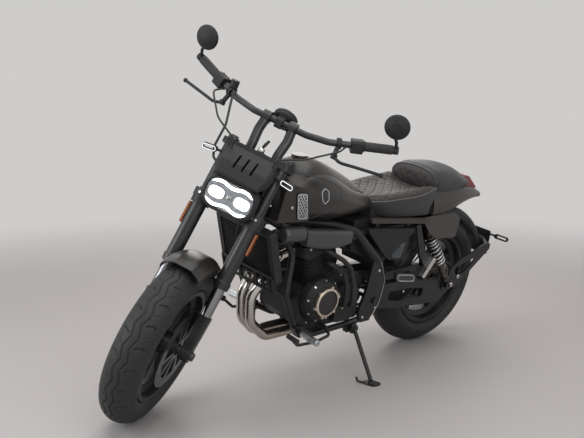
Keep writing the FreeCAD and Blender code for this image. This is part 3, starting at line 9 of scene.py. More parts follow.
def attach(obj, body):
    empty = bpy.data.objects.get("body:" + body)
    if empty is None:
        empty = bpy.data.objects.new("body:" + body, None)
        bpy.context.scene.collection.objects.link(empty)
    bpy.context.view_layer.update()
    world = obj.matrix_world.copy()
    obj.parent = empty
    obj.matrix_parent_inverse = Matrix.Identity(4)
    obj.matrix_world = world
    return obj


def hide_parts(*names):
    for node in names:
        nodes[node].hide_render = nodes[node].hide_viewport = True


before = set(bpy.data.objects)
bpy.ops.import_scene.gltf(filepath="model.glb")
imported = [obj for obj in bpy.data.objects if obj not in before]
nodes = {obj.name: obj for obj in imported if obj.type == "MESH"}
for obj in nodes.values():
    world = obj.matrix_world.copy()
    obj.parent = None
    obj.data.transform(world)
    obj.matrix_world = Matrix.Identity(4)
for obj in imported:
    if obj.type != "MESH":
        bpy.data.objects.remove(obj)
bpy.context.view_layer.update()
print("frame loaded")

# The bike is worked out upright in millimetres, x to the rider's left, y rearward,
# and then leaned, steered and set on the floor in metres
stance = {"lean": 11.3, "pitch": 0.319354, "lift": -2.56863, "shift": (-188.6268, -42.7919, 0.0),
          "steer": 33.0, "rake": 28.2, "offset": 54.0, "clampHeight": 516.0,
          "frontAxle": (0.0, -747.5, 320.0), "rearAxle": (0.0, 747.5, 323.0)}

leanTurn = np.array(Matrix.Rotation(math.radians(stance["lean"]), 3, "Y")
                    @ Matrix.Rotation(math.radians(stance["pitch"]), 3, "X"))
rakeSin = math.sin(math.radians(stance["rake"]))
rakeCos = math.cos(math.radians(stance["rake"]))
steerAxis = Vector((0, rakeSin, rakeCos))
frontAxle = np.array(stance["frontAxle"])
rearAxle = np.array(stance["rearAxle"])
steerTurn = np.array(Matrix.Rotation(math.radians(stance["steer"]), 3, steerAxis))
steeredBodies = ("steering", "front_wheel")


# Place along the fork: x, how far behind the legs' plane, how far up along the legs
def alongFork(x, behind, up):
    x, behind, up = np.broadcast_arrays(np.asarray(x, float), behind, up)
    return np.stack([x, frontAxle[1] + up * rakeSin + behind * rakeCos,
                     frontAxle[2] + up * rakeCos - behind * rakeSin], -1)


steerPoint = alongFork(0, stance["offset"], stance["clampHeight"])


# Upright millimetres to metres on the floor: turned by the lean, lifted and shifted
def parked(points, steered=False):
    points = np.asarray(points, float)
    if steered:
        points = (points - steerPoint) @ steerTurn.T + steerPoint
    shift = np.array(stance["shift"]) + np.array([0, 0, stance["lift"]])
    return (points @ leanTurn.T + shift) / 1000


# The way back: metres on the floor to upright millimetres, unsteered
def upright(points, steered=False):
    shift = np.array(stance["shift"]) + np.array([0, 0, stance["lift"]])
    points = (np.asarray(points, float) * 1000 - shift) @ leanTurn
    return (points - steerPoint) @ steerTurn + steerPoint if steered else points


# Surfaces

# Quads of a grid of rows by columns, joined round where it is closed
def gridFaces(rows, cols, closeRows=False, closeCols=False):
    index = np.arange(rows * cols).reshape(rows, cols)
    if closeRows:
        index = np.vstack([index, index[:1]])
    if closeCols:
        index = np.hstack([index, index[:, :1]])
    quads = np.stack([index[:-1, :-1], index[1:, :-1], index[1:, 1:], index[:-1, 1:]], -1)
    return quads.reshape(-1, 4)


# One mesh from sheets of (points, quads) or (points, quads, uv), all in upright millimetres;
# it rides on the named body and is turned with the bar where that body is steered
def makePiece(name, sheets, body, finish, smooth=True, merge=0.0):
    points, quads, uvs, start = [], [], [], 0
    for sheet in sheets:
        flat = sheet[0].reshape(-1, 3)
        points.append(flat)
        quads.append(sheet[1] + start)
        uvs.append(sheet[2].reshape(-1, 2) if len(sheet) > 2 else np.zeros((len(flat), 2)))
        start += len(flat)
    points = parked(np.concatenate(points), body in steeredBodies)
    quads = np.concatenate(quads)
    uvs = np.concatenate(uvs)
    mesh = bpy.data.meshes.new(name)
    mesh.from_pydata(points.tolist(), [], quads.tolist())
    layer = mesh.uv_layers.new(name="UVMap")
    corners = np.empty(len(mesh.loops), np.int32)
    mesh.loops.foreach_get("vertex_index", corners)
    layer.data.foreach_set("uv", uvs[corners].ravel())
    piece = bpy.data.objects.new(name, mesh)
    bpy.context.collection.objects.link(piece)
    cleanMesh(mesh, merge)
    mesh.polygons.foreach_set("use_smooth", np.full(len(mesh.polygons), smooth))
    mesh.materials.append(finishes[finish])
    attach(piece, body)
    return piece


# Doubles are merged where a distance is given, and then all faces are put outwards
def cleanMesh(mesh, merge):
    work = bmesh.new()
    work.from_mesh(mesh)
    if merge:
        bmesh.ops.remove_doubles(work, verts=work.verts, dist=merge)
    bmesh.ops.recalc_face_normals(work, faces=work.faces)
    work.to_mesh(mesh)
    work.free()


# Angles evenly spread round a full turn
def fullTurn(steps):
    return np.linspace(0, 2 * np.pi, steps, endpoint=False)


# The turn that takes +X to a direction, as a matrix
def turnFromX(direction):
    return np.array(Vector((1, 0, 0)).rotation_difference(Vector(direction)).to_matrix())


# Smooth line through corners: a cubic between each two, whose slope at a corner is half the
# step from the corner before it to the one after it, worked out at evenly spread parameters
def lineThrough(corners, count):
    corners = np.asarray(corners, float)
    padded = np.concatenate([2 * corners[:1] - corners[1:2], corners,
                             2 * corners[-1:] - corners[-2:-1]])
    place = np.linspace(0, len(corners) - 1 - 1e-9, count)
    cell = place.astype(int)
    t = (place - cell).reshape((-1,) + (1,) * (corners.ndim - 1))
    a, b, c, d = padded[cell], padded[cell + 1], padded[cell + 2], padded[cell + 3]
    return 0.5 * (2 * b + (c - a) * t + (2 * a - 5 * b + 4 * c - d) * t ** 2
                  + (3 * b - a - 3 * c + d) * t ** 3)


# Two unit directions square to a line at each of its points, kept near one given direction
def crossDirections(line, near):
    along = np.gradient(line, axis=0)
    along /= np.linalg.norm(along, axis=1, keepdims=True)
    side = np.cross(along, np.asarray(near, float))
    side /= np.linalg.norm(side, axis=1, keepdims=True)
    return side, np.cross(side, along)


# Tube: a circle of the given radius (one, or one per point) carried along a line; ends capped
def tube(line, radius, sides=12, near=(0.3, 0.2, 1.0), closed=False):
    line = np.asarray(line, float)
    if closed:
        ringed = np.vstack([line[-1:], line, line[:1]])
        side, up = crossDirections(ringed, near)
        side, up = side[1:-1], up[1:-1]
    else:
        side, up = crossDirections(line, near)
    turn = fullTurn(sides)
    radius = np.broadcast_to(np.asarray(radius, float), (len(line),))[:, None, None]
    rings = (line[:, None] + radius * (np.cos(turn)[None, :, None] * side[:, None]
                                       + np.sin(turn)[None, :, None] * up[:, None]))
    if not closed:
        rings = np.concatenate([line[:1, None] + 0 * rings[:1], rings,
                                line[-1:, None] + 0 * rings[-1:]])
    return rings, gridFaces(len(rings), sides, closed, True)


# Turned surface: a profile of (along, radius) carried round an axis through a centre
def turnedSheet(profile, centre, axis=(1, 0, 0), steps=48):
    profile, turn = np.asarray(profile, float), fullTurn(steps)
    spin = turnFromX(Vector(axis).normalized())
    along = np.repeat(profile[:, :1], steps, 1)
    points = np.stack([along, profile[:, 1:] * np.cos(turn), profile[:, 1:] * np.sin(turn)], -1)
    return points @ spin.T + np.asarray(centre, float), gridFaces(len(profile), steps, False, True)


# Copies of one sheet: each is turned from +X to its own direction, scaled and put at its place;
# one direction or one size serves for all places
def scattered(sheet, places, directions, sizes):
    points, quads = sheet[0].reshape(-1, 3), sheet[1]
    places = np.asarray(places, float)
    directions = np.broadcast_to(np.asarray(directions, float), places.shape)
    sizes = np.broadcast_to(np.asarray(sizes, float), len(places))
    turns = np.array([turnFromX(one) for one in directions])
    moved = np.einsum("kij,nj->kni", turns, points) * sizes[:, None, None] + places[:, None]
    step = (np.arange(len(places)) * len(points))[:, None, None]
    return moved.reshape(-1, 3), (quads[None] + step).reshape(-1, 4)


# Unit directions square to a grid of points: cross product of its two slopes
def gridNormals(points):
    normal = np.cross(np.gradient(points, axis=0), np.gradient(points, axis=1))
    return normal / np.maximum(np.linalg.norm(normal, axis=-1, keepdims=True), 1e-9)


# 0 below low and 1 above high, with the cubic 3 t^2 - 2 t^3 between them
def smoothStep(low, high, value):
    t = np.clip((value - low) / (high - low), 0, 1)
    return t * t * (3 - 2 * t)


# Materials

# One socket of a finish: each sum with it, from either side, adds a Math node
class Signal:
    def __init__(self, finish, socket):
        self.finish, self.socket = finish, socket

    def __add__(self, other):
        return self.finish.sum("ADD", self, other)

    def __sub__(self, other):
        return self.finish.sum("SUBTRACT", self, other)

    def __rsub__(self, other):
        return self.finish.sum("SUBTRACT", other, self)

    def __mul__(self, other):
        return self.finish.sum("MULTIPLY", self, other)

    def __pow__(self, other):
        return self.finish.sum("POWER", self, other)

    __radd__ = __add__
    __rmul__ = __mul__


# A material whose nodes are added by calls
class Finish:
    def __init__(self, name, **fixed):
        self.material = bpy.data.materials.new(name)
        self.material.use_nodes = True
        self.tree = self.material.node_tree
        self.tree.nodes.clear()
        self.output = self.tree.nodes.new("ShaderNodeOutputMaterial")
        self.shader = self.tree.nodes.new("ShaderNodeBsdfPrincipled")
        self.tree.links.new(self.shader.outputs[0], self.output.inputs[0])
        self.set(**fixed)

    def link(self, socket, value):
        if isinstance(value, Signal):
            self.tree.links.new(value.socket, socket)
        elif isinstance(value, (tuple, list)) and len(value) == 3 and socket.type == "RGBA":
            socket.default_value = (*value, 1)
        else:
            socket.default_value = value

    # A node of this type: its settings are set first, then its sockets
    def node(self, kind, settings=None, sockets=None, output=0):
        made = self.tree.nodes.new(kind)
        for key, value in (settings or {}).items():
            setattr(made, key, value)
        for key, value in (sockets or {}).items():
            self.link(made.inputs[key], value)
        return Signal(self, made.outputs[output])

    def sum(self, operation, first, second=0.0):
        return self.node("ShaderNodeMath", {"operation": operation}, {0: first, 1: second})

    def set(self, **values):
        names = {"base": "Base Color", "rough": "Roughness", "metal": "Metallic",
                 "coat": "Coat Weight", "coatRough": "Coat Roughness", "ior": "IOR",
                 "glow": "Emission Color", "glowStrength": "Emission Strength",
                 "through": "Transmission Weight", "normal": "Normal",
                 "specular": "Specular IOR Level", "sheen": "Sheen Weight"}
        for key, value in values.items():
            self.link(self.shader.inputs[names[key]], value)

    def places(self):
        return self.node("ShaderNodeTexCoord", output="Object")

    def uv(self):
        return self.node("ShaderNodeTexCoord", output="UV")

    # Place along one of the bike's upright directions, in metres from an upright point
    def reach(self, direction, point=(0, 0, 0)):
        away = self.node("ShaderNodeVectorMath", {"operation": "SUBTRACT"},
                         {0: self.places(), 1: tuple(parked(point))})
        return self.node("ShaderNodeVectorMath", {"operation": "DOT_PRODUCT"},
                         {0: away, 1: tuple(leanTurn @ np.array(direction, float))}, "Value")

    def noise(self, scale, detail=3.0):
        return self.node("ShaderNodeTexNoise", {}, {"Vector": self.places(), "Scale": scale,
                                                    "Detail": detail, "Roughness": 0.55}, "Fac")

    def cells(self, scale, feature="F1"):
        return self.node("ShaderNodeTexVoronoi", {"feature": feature},
                         {"Vector": self.places(), "Scale": scale}, "Distance")

    def ramp(self, value, low, high, first=0.0, last=1.0):
        return self.node("ShaderNodeMapRange", {"interpolation_type": "SMOOTHSTEP", "clamp": True},
                         {"Value": value, "From Min": low, "From Max": high, "To Min": first,
                          "To Max": last})

    def blend(self, share, first, second):
        return self.node("ShaderNodeMix", {"data_type": "RGBA"},
                         {"Factor": share, 6: first, 7: second}, 2)

    def bump(self, height, distance, strength=1.0, under=None):
        sockets = {"Height": height, "Distance": distance, "Strength": strength}
        if under:
            sockets["Normal"] = under
        return self.node("ShaderNodeBump", {}, sockets)


# Painted or moulded finish: fine grain in the bump, cloudy roughness, faint settled dust
paintLooks = {
    "blackCasting": {"base": (0.014, 0.014, 0.015), "rough": 0.42, "grain": 900, "depth": 0.00010,
                     "dust": 0.10, "coat": 0.15},
    "engineBlack": {"base": (0.016, 0.016, 0.017), "rough": 0.55, "grain": 1400, "depth": 0.00022,
                    "dust": 0.16, "coat": 0.0},
    "forkBlack": {"base": (0.018, 0.018, 0.019), "rough": 0.30, "grain": 500, "depth": 0.00004,
                  "dust": 0.05, "coat": 0.4},
    "satinTank": {"base": (0.021, 0.018, 0.016), "rough": 0.36, "grain": 1600, "depth": 0.00003,
                  "dust": 0.06, "coat": 0.45},
    "silverPaint": {"base": (0.50, 0.51, 0.52), "rough": 0.34, "grain": 500, "depth": 0.00003,
                    "dust": 0.05, "coat": 0.3},
    "ventBlue": {"base": (0.075, 0.095, 0.115), "rough": 0.35, "grain": 800, "depth": 0.00004,
                 "dust": 0.05, "coat": 0.2},
    # Glossy near-black: the gauge's own dial colour, and painted shade in the vent holes and the
    # swingarm slot
    "dialBlackAndHoleShade": {"base": (0.006, 0.006, 0.007), "rough": 0.12, "grain": 500, "depth": 0.000005,
                  "dust": 0.02, "coat": 0.8},
    "blackPlastic": {"base": (0.016, 0.016, 0.017), "rough": 0.50, "grain": 1900, "depth": 0.00008,
                     "dust": 0.12, "coat": 0.0},
    "podMetal": {"base": (0.060, 0.061, 0.066), "rough": 0.36, "grain": 700, "depth": 0.00005,
                 "dust": 0.06, "coat": 0.2},
    "trimGrey": {"base": (0.046, 0.040, 0.037), "rough": 0.34, "grain": 900, "depth": 0.00004,
                 "dust": 0.06, "coat": 0.2},
    "mufflerBlack": {"base": (0.020, 0.020, 0.020), "rough": 0.60, "grain": 1200, "depth": 0.00012,
                     "dust": 0.18, "coat": 0.0},
    "plateWhite": {"base": (0.62, 0.62, 0.61), "rough": 0.45, "grain": 300, "depth": 0.00003,
                   "dust": 0.05, "coat": 0.1},
}
dustLook = {"colour": (0.16, 0.15, 0.14), "clouds": 14, "specks": 90, "specked": 0.3, "from": 0.42,
            "full": 0.78, "dulls": 0.5, "drift": 0.14}


def paintFinish(name, look):
    made = Finish(name, coat=look["coat"], coatRough=0.25, specular=0.35)
    cloud = made.noise(dustLook["clouds"], 4)
    fine = made.noise(look["grain"], 2)
    specks = made.noise(dustLook["specks"], 5)
    dust = made.ramp(cloud * (1 - dustLook["specked"]) + specks * dustLook["specked"],
                     dustLook["from"], dustLook["full"], 0.0, look["dust"])
    made.set(base=made.blend(dust, look["base"], dustLook["colour"]),
             rough=look["rough"] + (cloud - 0.5) * dustLook["drift"] + dust * dustLook["dulls"],
             normal=made.bump(fine, look["depth"]))
    return made.material


# Bare metal: fine grain in the bump, tint and roughness that drift in clouds
metalLooks = {
    "discSteel": {"base": (0.42, 0.41, 0.40), "tint": (0.28, 0.26, 0.24), "rough": 0.30,
                  "scale": 260},
    # Front disc steel, darker than the rear disc's: painted shade of the disc inside the wheel
    "discSteelPaintedShade": {"base": (0.14, 0.14, 0.145), "tint": (0.10, 0.10, 0.10), "rough": 0.36,
                 "scale": 260},
    "darkSteel": {"base": (0.13, 0.125, 0.12), "tint": (0.07, 0.06, 0.05), "rough": 0.38,
                  "scale": 200},
    "exhaustSteel": {"base": (0.63, 0.60, 0.56), "tint": (0.50, 0.40, 0.28), "rough": 0.20,
                     "scale": 30},
    "brightBolt": {"base": (0.62, 0.62, 0.62), "tint": (0.45, 0.44, 0.42), "rough": 0.24,
                   "scale": 150},
    "stanchionChrome": {"base": (0.30, 0.30, 0.31), "tint": (0.25, 0.25, 0.26), "rough": 0.10,
                        "scale": 60},
    "springSteel": {"base": (0.46, 0.46, 0.47), "tint": (0.34, 0.34, 0.35), "rough": 0.30,
                    "scale": 90},
    "mirrorGlass": {"base": (0.82, 0.84, 0.86), "tint": (0.80, 0.82, 0.84), "rough": 0.05,
                    "scale": 20},
}
metalGrain = {"clouds": 0.2, "fine": 9, "tinted": (0.35, 0.75), "drift": 0.16, "rub": 0.1,
              "depth": 0.00004}


def metalFinish(name, look):
    made = Finish(name, metal=1.0)
    cloud = made.noise(look["scale"] * metalGrain["clouds"], 4)
    fine = made.noise(look["scale"] * metalGrain["fine"], 3)
    made.set(base=made.blend(made.ramp(cloud, *metalGrain["tinted"]), look["base"], look["tint"]),
             rough=look["rough"] + (cloud - 0.5) * metalGrain["drift"]
             + (fine - 0.5) * metalGrain["rub"],
             normal=made.bump(fine, metalGrain["depth"]))
    return made.material


# Tyre rubber: fine pores in the bump and paler scuffs in clouds
def tyreFinish():
    made = Finish("tyreRubber")
    pores = made.noise(1300, 3)
    scuff = made.ramp(made.noise(30, 5), 0.4, 0.75)
    made.set(base=made.blend(scuff * 0.5, (0.017, 0.017, 0.018), (0.034, 0.032, 0.030)),
             rough=0.62 + (scuff - 0.5) * 0.12,
             normal=made.bump(pores, 0.00025))
    return made.material


# Seat hide: pebbled grain from cell edges, creases and worn clouds; below the seam, where the
# piece's own U is low, it takes the colour of the side
hideLook = {"pebbles": 420, "creases": 60, "worn": (0.3, 0.75), "seam": (0.285, 0.29),
            "rough": 0.47, "drift": 0.16}


def hideFinish(name, base, worn, side=None):
    made = Finish(name, sheen=0.08)
    pebble = made.cells(hideLook["pebbles"], "DISTANCE_TO_EDGE")
    crease = made.noise(hideLook["creases"], 5)
    shade = made.blend(made.ramp(crease, *hideLook["worn"]), base, worn)
    if side:
        split = made.node("ShaderNodeSeparateXYZ", {}, {"Vector": made.uv()}, "X")
        shade = made.blend(made.ramp(split, *hideLook["seam"]), side, shade)
    made.set(base=shade, rough=hideLook["rough"] + (crease - 0.5) * hideLook["drift"],
             normal=made.bump(made.ramp(pebble, 0.0, 0.12), 0.00022,
                              under=made.bump(crease, 0.0006, 0.5)))
    return made.material


# Soft rubber of grips and hoses: fine grain, a slightly paler shade in clouds
def rubberFinish():
    made = Finish("gripRubber")
    grain = made.noise(900, 3)
    made.set(base=made.blend(made.noise(40), (0.014, 0.014, 0.014), (0.024, 0.023, 0.022)),
             rough=0.55 + grain * 0.1, normal=made.bump(grain, 0.0001))
    return made.material


# Lit surface: an even glow over a pale base
def glowFinish(name, colour, strength, base=(0.8, 0.8, 0.8)):
    made = Finish(name, rough=0.3, glow=colour, glowStrength=strength)
    made.set(base=made.blend(made.noise(60), base, [0.9 * one for one in base]))
    return made.material


# Clear lamp cover, almost without bending, with faint clouds in its gloss
def glassFinish():
    made = Finish("lampGlass", through=1.0, ior=1.06, base=(0.97, 0.98, 1.0), coat=0.6,
                  coatRough=0.02)
    made.set(rough=made.ramp(made.noise(20), 0.3, 0.8, 0.01, 0.04))
    return made.material


# Moulded colour lens: square prisms seen through a glossy face
def lensFinish(name, base, bright):
    made = Finish(name, rough=0.14, coat=0.8, coatRough=0.04)
    prism = made.cells(260)
    made.set(base=made.blend(made.ramp(prism, 0.0, 0.6), bright, base),
             normal=made.bump(prism, 0.0006))
    return made.material


# Clutch cover: champagne ring and lugs round a dark disc, by the distance from its axis
def ringFinish(centre, inner):
    made = Finish("ringCover")
    radius = (made.reach((0, 1, 0), centre) ** 2.0 + made.reach((0, 0, 1), centre) ** 2.0) ** 0.5
    ring = made.ramp(radius, inner - 0.0012, inner)
    fine = made.noise(1500, 3)
    made.set(base=made.blend(ring, (0.026, 0.025, 0.024), (0.80, 0.71, 0.60)), metal=ring,
             rough=0.55 - ring * 0.27 + (fine - 0.5) * 0.08, normal=made.bump(fine, 0.0002))
    return made.material


# Pegs of bare alloy on a black part: bare outside of a distance from the bike's middle and,
# where the zone names them, only near one y and above one height (all in millimetres)
def pegFinish(name, zone):
    made = Finish(name)
    step = 0.0001

    def above(signal, limit):
        return made.ramp(signal, limit / 1000 - step, limit / 1000 + step)

    bare = above(made.sum("ABSOLUTE", made.reach((1, 0, 0))), zone["inner"])
    if "half" in zone:
        away = made.sum("ABSOLUTE", made.reach((0, 1, 0), (0, zone["y"], 0)))
        high = made.reach((0, 0, 1), (0, 0, zone["low"]))
        bare = bare * above(high, 0.0) * (1 - above(away, zone["half"]))
    fine = made.noise(600, 3)
    made.set(base=made.blend(bare, zone["black"], zone["alloy"]), metal=bare,
             rough=0.50 - bare * zone["polish"] + (fine - 0.5) * 0.1,
             normal=made.bump(fine, 0.00005))
    return made.material


finishes = {name: paintFinish(name, look) for name, look in paintLooks.items()}
finishes.update({name: metalFinish(name, look) for name, look in metalLooks.items()})
finishes["tyreRubber"] = tyreFinish()
finishes["seatHide"] = hideFinish("seatHide", (0.030, 0.025, 0.023), (0.044, 0.037, 0.033),
                                  (0.034, 0.035, 0.038))
finishes["seatSide"] = hideFinish("seatSide", (0.014, 0.013, 0.013), (0.024, 0.022, 0.021))
finishes["seatPiping"] = hideFinish("seatPiping", (0.16, 0.15, 0.14), (0.22, 0.20, 0.19))
finishes["gripRubber"] = rubberFinish()
finishes["lampGlass"] = glassFinish()
finishes["redLens"] = lensFinish("redLens", (0.22, 0.004, 0.006), (0.45, 0.02, 0.02))
finishes["orangeLens"] = lensFinish("orangeLens", (0.34, 0.10, 0.025), (0.46, 0.17, 0.06))
finishes["dayLight"] = glowFinish("dayLight", (0.95, 0.98, 1.0), 2.6)
finishes["lowBeam"] = glowFinish("lowBeam", (1.0, 0.99, 0.97), 1.7)
finishes["lampSpill"] = glowFinish("lampSpill", (0.80, 0.86, 0.92), 0.10, (0.20, 0.21, 0.22))
finishes["whiteLight"] = glowFinish("whiteLight", (0.95, 0.97, 1.0), 0.75)
finishes["redSwitch"] = lensFinish("redSwitch", (0.35, 0.01, 0.01), (0.5, 0.02, 0.02))
finishes["ringCover"] = ringFinish((0, -62, 392), 0.0515)


# Corners of a CAD node's mesh as it stands on the floor, in metres
def floorPoints(node):
    points = np.empty(len(nodes[node].data.vertices) * 3, np.float32)
    nodes[node].data.vertices.foreach_get("co", points)
    return points.reshape(-1, 3)


pegOuter = upright(floorPoints("passenger_pegs"))[:, 0].max()
finishes["pegAlloy"] = pegFinish("pegAlloy", {
    "inner": pegOuter - 20.15, "black": (0.016, 0.016, 0.017), "alloy": (0.70, 0.69, 0.67),
    "polish": 0.20})
finishes["treadAlloy"] = pegFinish("treadAlloy", {
    "inner": 178.9, "y": -181.0, "half": 20.0, "low": 266.0, "black": (0.020, 0.020, 0.021),
    "alloy": (0.55, 0.58, 0.60), "polish": 0.18})
print("finishes made")

nodeFinish = {
    "blackCasting": ["front_rim", "rear_rim", "fork_feet", "triple_clamps", "swingarm",
                     "main_frame", "side_stand", "plate_bracket"],
    "engineBlack": ["engine_cases", "cylinders", "engine_covers", "front_caliper", "rear_caliper",
                    "radiator"],
    "treadAlloy": ["foot_controls"],
    "forkBlack": ["fork_sliders", "handlebar", "shock_springs"],
    "satinTank": ["fuel_tank", "front_fender", "tank_shrouds", "tank_inserts"],
    "blackPlastic": ["inner_fender", "bar_controls", "headlamp", "chain_guard", "battery_box",
                     "side_covers", "front_indicators", "rear_indicators", "gauge", "mirrors"],
    "podMetal": ["side_pods"],
    "trimGrey": ["side_trim", "tail_cowl"],
    "mufflerBlack": ["muffler"],
    "plateWhite": ["number_plate"],
    "discSteel": ["rear_disc"],
    # The front disc takes the darker disc steel, which is painted shade
    "discSteelPaintedShade": ["front_disc"],
    "darkSteel": ["front_axle", "rear_axle", "chain", "rear_shocks"],
    "exhaustSteel": ["exhaust_headers"],
    "ringCover": ["ring_cover"],
    "pegAlloy": ["passenger_pegs"],
    "stanchionChrome": ["fork_stanchions"],
    "tyreRubber": ["front_tyre", "rear_tyre"],
    "seatHide": ["rider_seat", "pillion_seat"],
    "gripRubber": ["grips", "cables", "coolant_hose"],
    "lampGlass": ["headlamp_lens"],
    "redLens": ["tail_lamp"],
    "orangeLens": ["reflectors"],
}
for finishName, names in nodeFinish.items():
    for name in names:
        mesh = nodes[name].data
        mesh.materials.clear()
        mesh.materials.append(finishes[finishName])
print("solids dressed")


# Tyres

# Points of the circle through three places of a cross section, kept in its plane
def arcThrough(first, middle, last, count):
    a, b, c = complex(*first), complex(*middle), complex(*last)
    w = (c - a) / (b - a)
    centre = a - (a - b) * (w - abs(w) ** 2) / 2j / w.imag
    start = np.angle(a - centre)
    through = np.angle((b - centre) / (a - centre))
    sweep = np.angle((c - centre) / (a - centre))
    if through * sweep < 0 or abs(through) > abs(sweep):
        sweep -= math.copysign(2 * np.pi, sweep)
    points = centre + abs(a - centre) * np.exp(1j * (start + np.linspace(0, 1, count) * sweep))
    return np.stack([points.real, points.imag], -1)


tyreLooks = [
    {"name": "frontTread", "node": "front_tyre", "body": "front_wheel", "centre": frontAxle,
     "radius": 319.9, "half": 66.0, "repeats": 24, "zig": 7.0, "middle": 13.0},
    {"name": "rearTread", "node": "rear_tyre", "body": "rear_wheel", "centre": rearAxle,
     "radius": 323.0, "half": 76.0, "repeats": 22, "zig": 9.0, "middle": 17.0},
]
treadCut = {"depth": 5.0, "groove": 2.1, "sipe": 1.4, "soft": 1.1, "around": 960, "across": 58,
            "bends": (0.55, -0.25), "bentShift": 0.2, "bentShare": 1.1, "sipeShift": 0.7,
            "sipeBend": 1.4, "sipeShare": 0.7, "shoulder": 0.98}
tyreForm = {"bead": 208.0, "heelShare": 0.7, "heelUp": 13.0, "beadUp": 6.0, "beadWide": 12.0,
            "crownLean": 62.0, "crownSpare": 2.0, "wallDrop": 6.0, "thick": 15.0,
            "ridge": 0.9, "ridgeUp": 34.0, "ridgeWide": 2.2}


# How deep the pattern is cut: zigzag grooves beside the middle, bent lightning cuts out to
# the shoulders and short sipes between them, each from the distance to its own line
def treadDepth(around, across, look):
    period = 2 * np.pi * look["radius"] / look["repeats"]
    phase = around / period

    def wave(shift):
        return np.abs(((phase + shift) % 1.0) * 2 - 1) * 2 - 1

    def cut(distance, half):
        return 1 - smoothStep(half - treadCut["soft"] / 2, half + treadCut["soft"] / 2, distance)

    def lane(shift, bend):
        return np.abs(((phase + side + bend + shift) % 1.0) - 0.5) * period

    line = look["middle"] + look["zig"] * wave(0)
    otherLine = look["middle"] + look["zig"] * wave(0.5)
    grooves = np.maximum(cut(np.abs(across - line), treadCut["groove"]),
                         cut(np.abs(across + otherLine), treadCut["groove"]))
    reach = np.abs(across)
    side = np.where(across > 0, 0.0, 0.5)
    low, high = look["middle"] + look["zig"] + 1, look["half"] * treadCut["shoulder"]
    knee = (low + high) / 2
    bend = np.where(reach < knee, *treadCut["bends"]) * (reach - knee) / period
    inside = smoothStep(low - 1, low + 1, reach) * (1 - smoothStep(high - 8, high, reach))
    bentCuts = cut(lane(treadCut["bentShift"], bend), treadCut["groove"] * treadCut["bentShare"])
    between = smoothStep(low + 8, low + 10, reach) * (1 - smoothStep(high - 20, high - 14, reach))
    sipes = cut(lane(treadCut["sipeShift"], bend * treadCut["sipeBend"]), treadCut["sipe"])
    long, short = np.maximum(grooves, bentCuts * inside), treadCut["sipeShare"] * sipes * between
    return treadCut["depth"] * np.maximum(long, short)


# Tyre: crown, side walls, beads and inside in one closed section, carried round the axle;
# each crown point moves towards the crown's own centre by the depth of the pattern
def tyreSheet(look):
    form, bead = tyreForm, tyreForm["bead"]
    crown = look["half"] + form["crownSpare"]
    hubLine = look["radius"] - crown
    lean = np.radians(np.linspace(-form["crownLean"], form["crownLean"], treadCut["across"]))
    top = np.stack([crown * np.sin(lean), hubLine + crown * np.cos(lean)], -1)
    heel = (look["half"] * form["heelShare"], bead + form["heelUp"])
    wall = arcThrough(tuple(top[-1]), (look["half"], hubLine - form["wallDrop"]), heel, 12)[1:]
    wall[:, 0] += form["ridge"] * np.exp(-((wall[:, 1] - (bead + form["ridgeUp"]))
                                           / form["ridgeWide"]) ** 2)
    toe = heel[0] - form["beadWide"]
    rim = np.array([(heel[0], bead + form["beadUp"]), (heel[0], bead), (toe, bead)])
    inner = arcThrough((toe, bead), (0, look["radius"] - form["thick"]), (-toe, bead), 13)[1:-1]
    flip = np.array([-1, 1])
    section = np.concatenate([top, wall, rim, inner, (rim * flip)[::-1], (wall * flip)[::-1]])
    turn = fullTurn(treadCut["around"])
    around = (turn * look["radius"])[:, None]
    depth = np.zeros((len(turn), len(section)))
    depth[:, :len(top)] = treadDepth(around, (crown * lean)[None], look)
    inward = np.zeros((len(section), 2))
    inward[:len(top)] = np.stack([-np.sin(lean), -np.cos(lean)], -1)
    shaped = section[None] + depth[..., None] * inward[None]
    points = np.stack([shaped[..., 0], -shaped[..., 1] * np.sin(turn)[:, None],
                       shaped[..., 1] * np.cos(turn)[:, None]], -1)
    return points + look["centre"], gridFaces(len(turn), len(section), True, True)


for look in tyreLooks:
    tyre = makePiece(look["name"], [tyreSheet(look)], look["body"], "tyreRubber")
    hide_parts(look["node"])
print("tyres cut")


# Seats

# Rows: y, half base, base z, half width, its z, half shoulder, shoulder z, crown z
seatLooks = {
    "riderSeat": {"node": "rider_seat", "rows": [
        (197, 64, 710, 88, 752, 72, 774, 774), (260, 108, 696, 126, 758, 102, 782, 778),
        (340, 122, 687, 140, 764, 116, 789, 780), (420, 126, 682, 144, 766, 120, 795, 783),
        (492, 125, 678, 143, 775, 118, 801, 782), (540, 120, 674, 137, 787, 114, 802, 777),
        (571, 112, 671, 130, 786, 106, 796, 772)],
        "long": 230, "across": 190, "cap": 12.0, "shrink": 0.12, "bulge": 0.0, "seam": 1.16,
        "quilt": (206.0, 562.0)},
    "pillionSeat": {"node": "pillion_seat", "rows": [
        (552, 92, 770, 120, 813, 98, 846, 863), (600, 102, 767, 124, 814, 102, 856, 872),
        (680, 102, 761, 118, 813, 96, 850, 874), (770, 92, 761, 108, 804, 84, 830, 854),
        (873, 58, 757, 76, 784, 56, 796, 809)],
        "long": 190, "across": 190, "cap": 10.0, "shrink": 0.05, "bulge": 15.0, "seam": 0.0,
        "quilt": (0.0, 0.0)},
}
sewing = {"pitch": 46.0, "slant": 0.8, "square": 0.7, "sink": 1.5, "width": 1.7, "puff": 0.9,
          "puffShare": 0.3, "puffPower": 0.6, "onset": 0.08, "fade": 5.0, "seamDeep": 1.5,
          "seamWide": 0.035, "bands": (578.0, 586.0), "bandDeep": 1.6, "bandWide": 1.6,
          "bandFrom": 0.3, "faceRings": 46, "facePower": 2.4, "faceMiddle": 815.0,
          "faceFade": (0.86, 0.95), "piping": 2.1, "rim": 3.6, "rimReach": 0.4}
sectionForm = {"spans": 8, "crownIn": 0.52, "crownUp": 0.80}


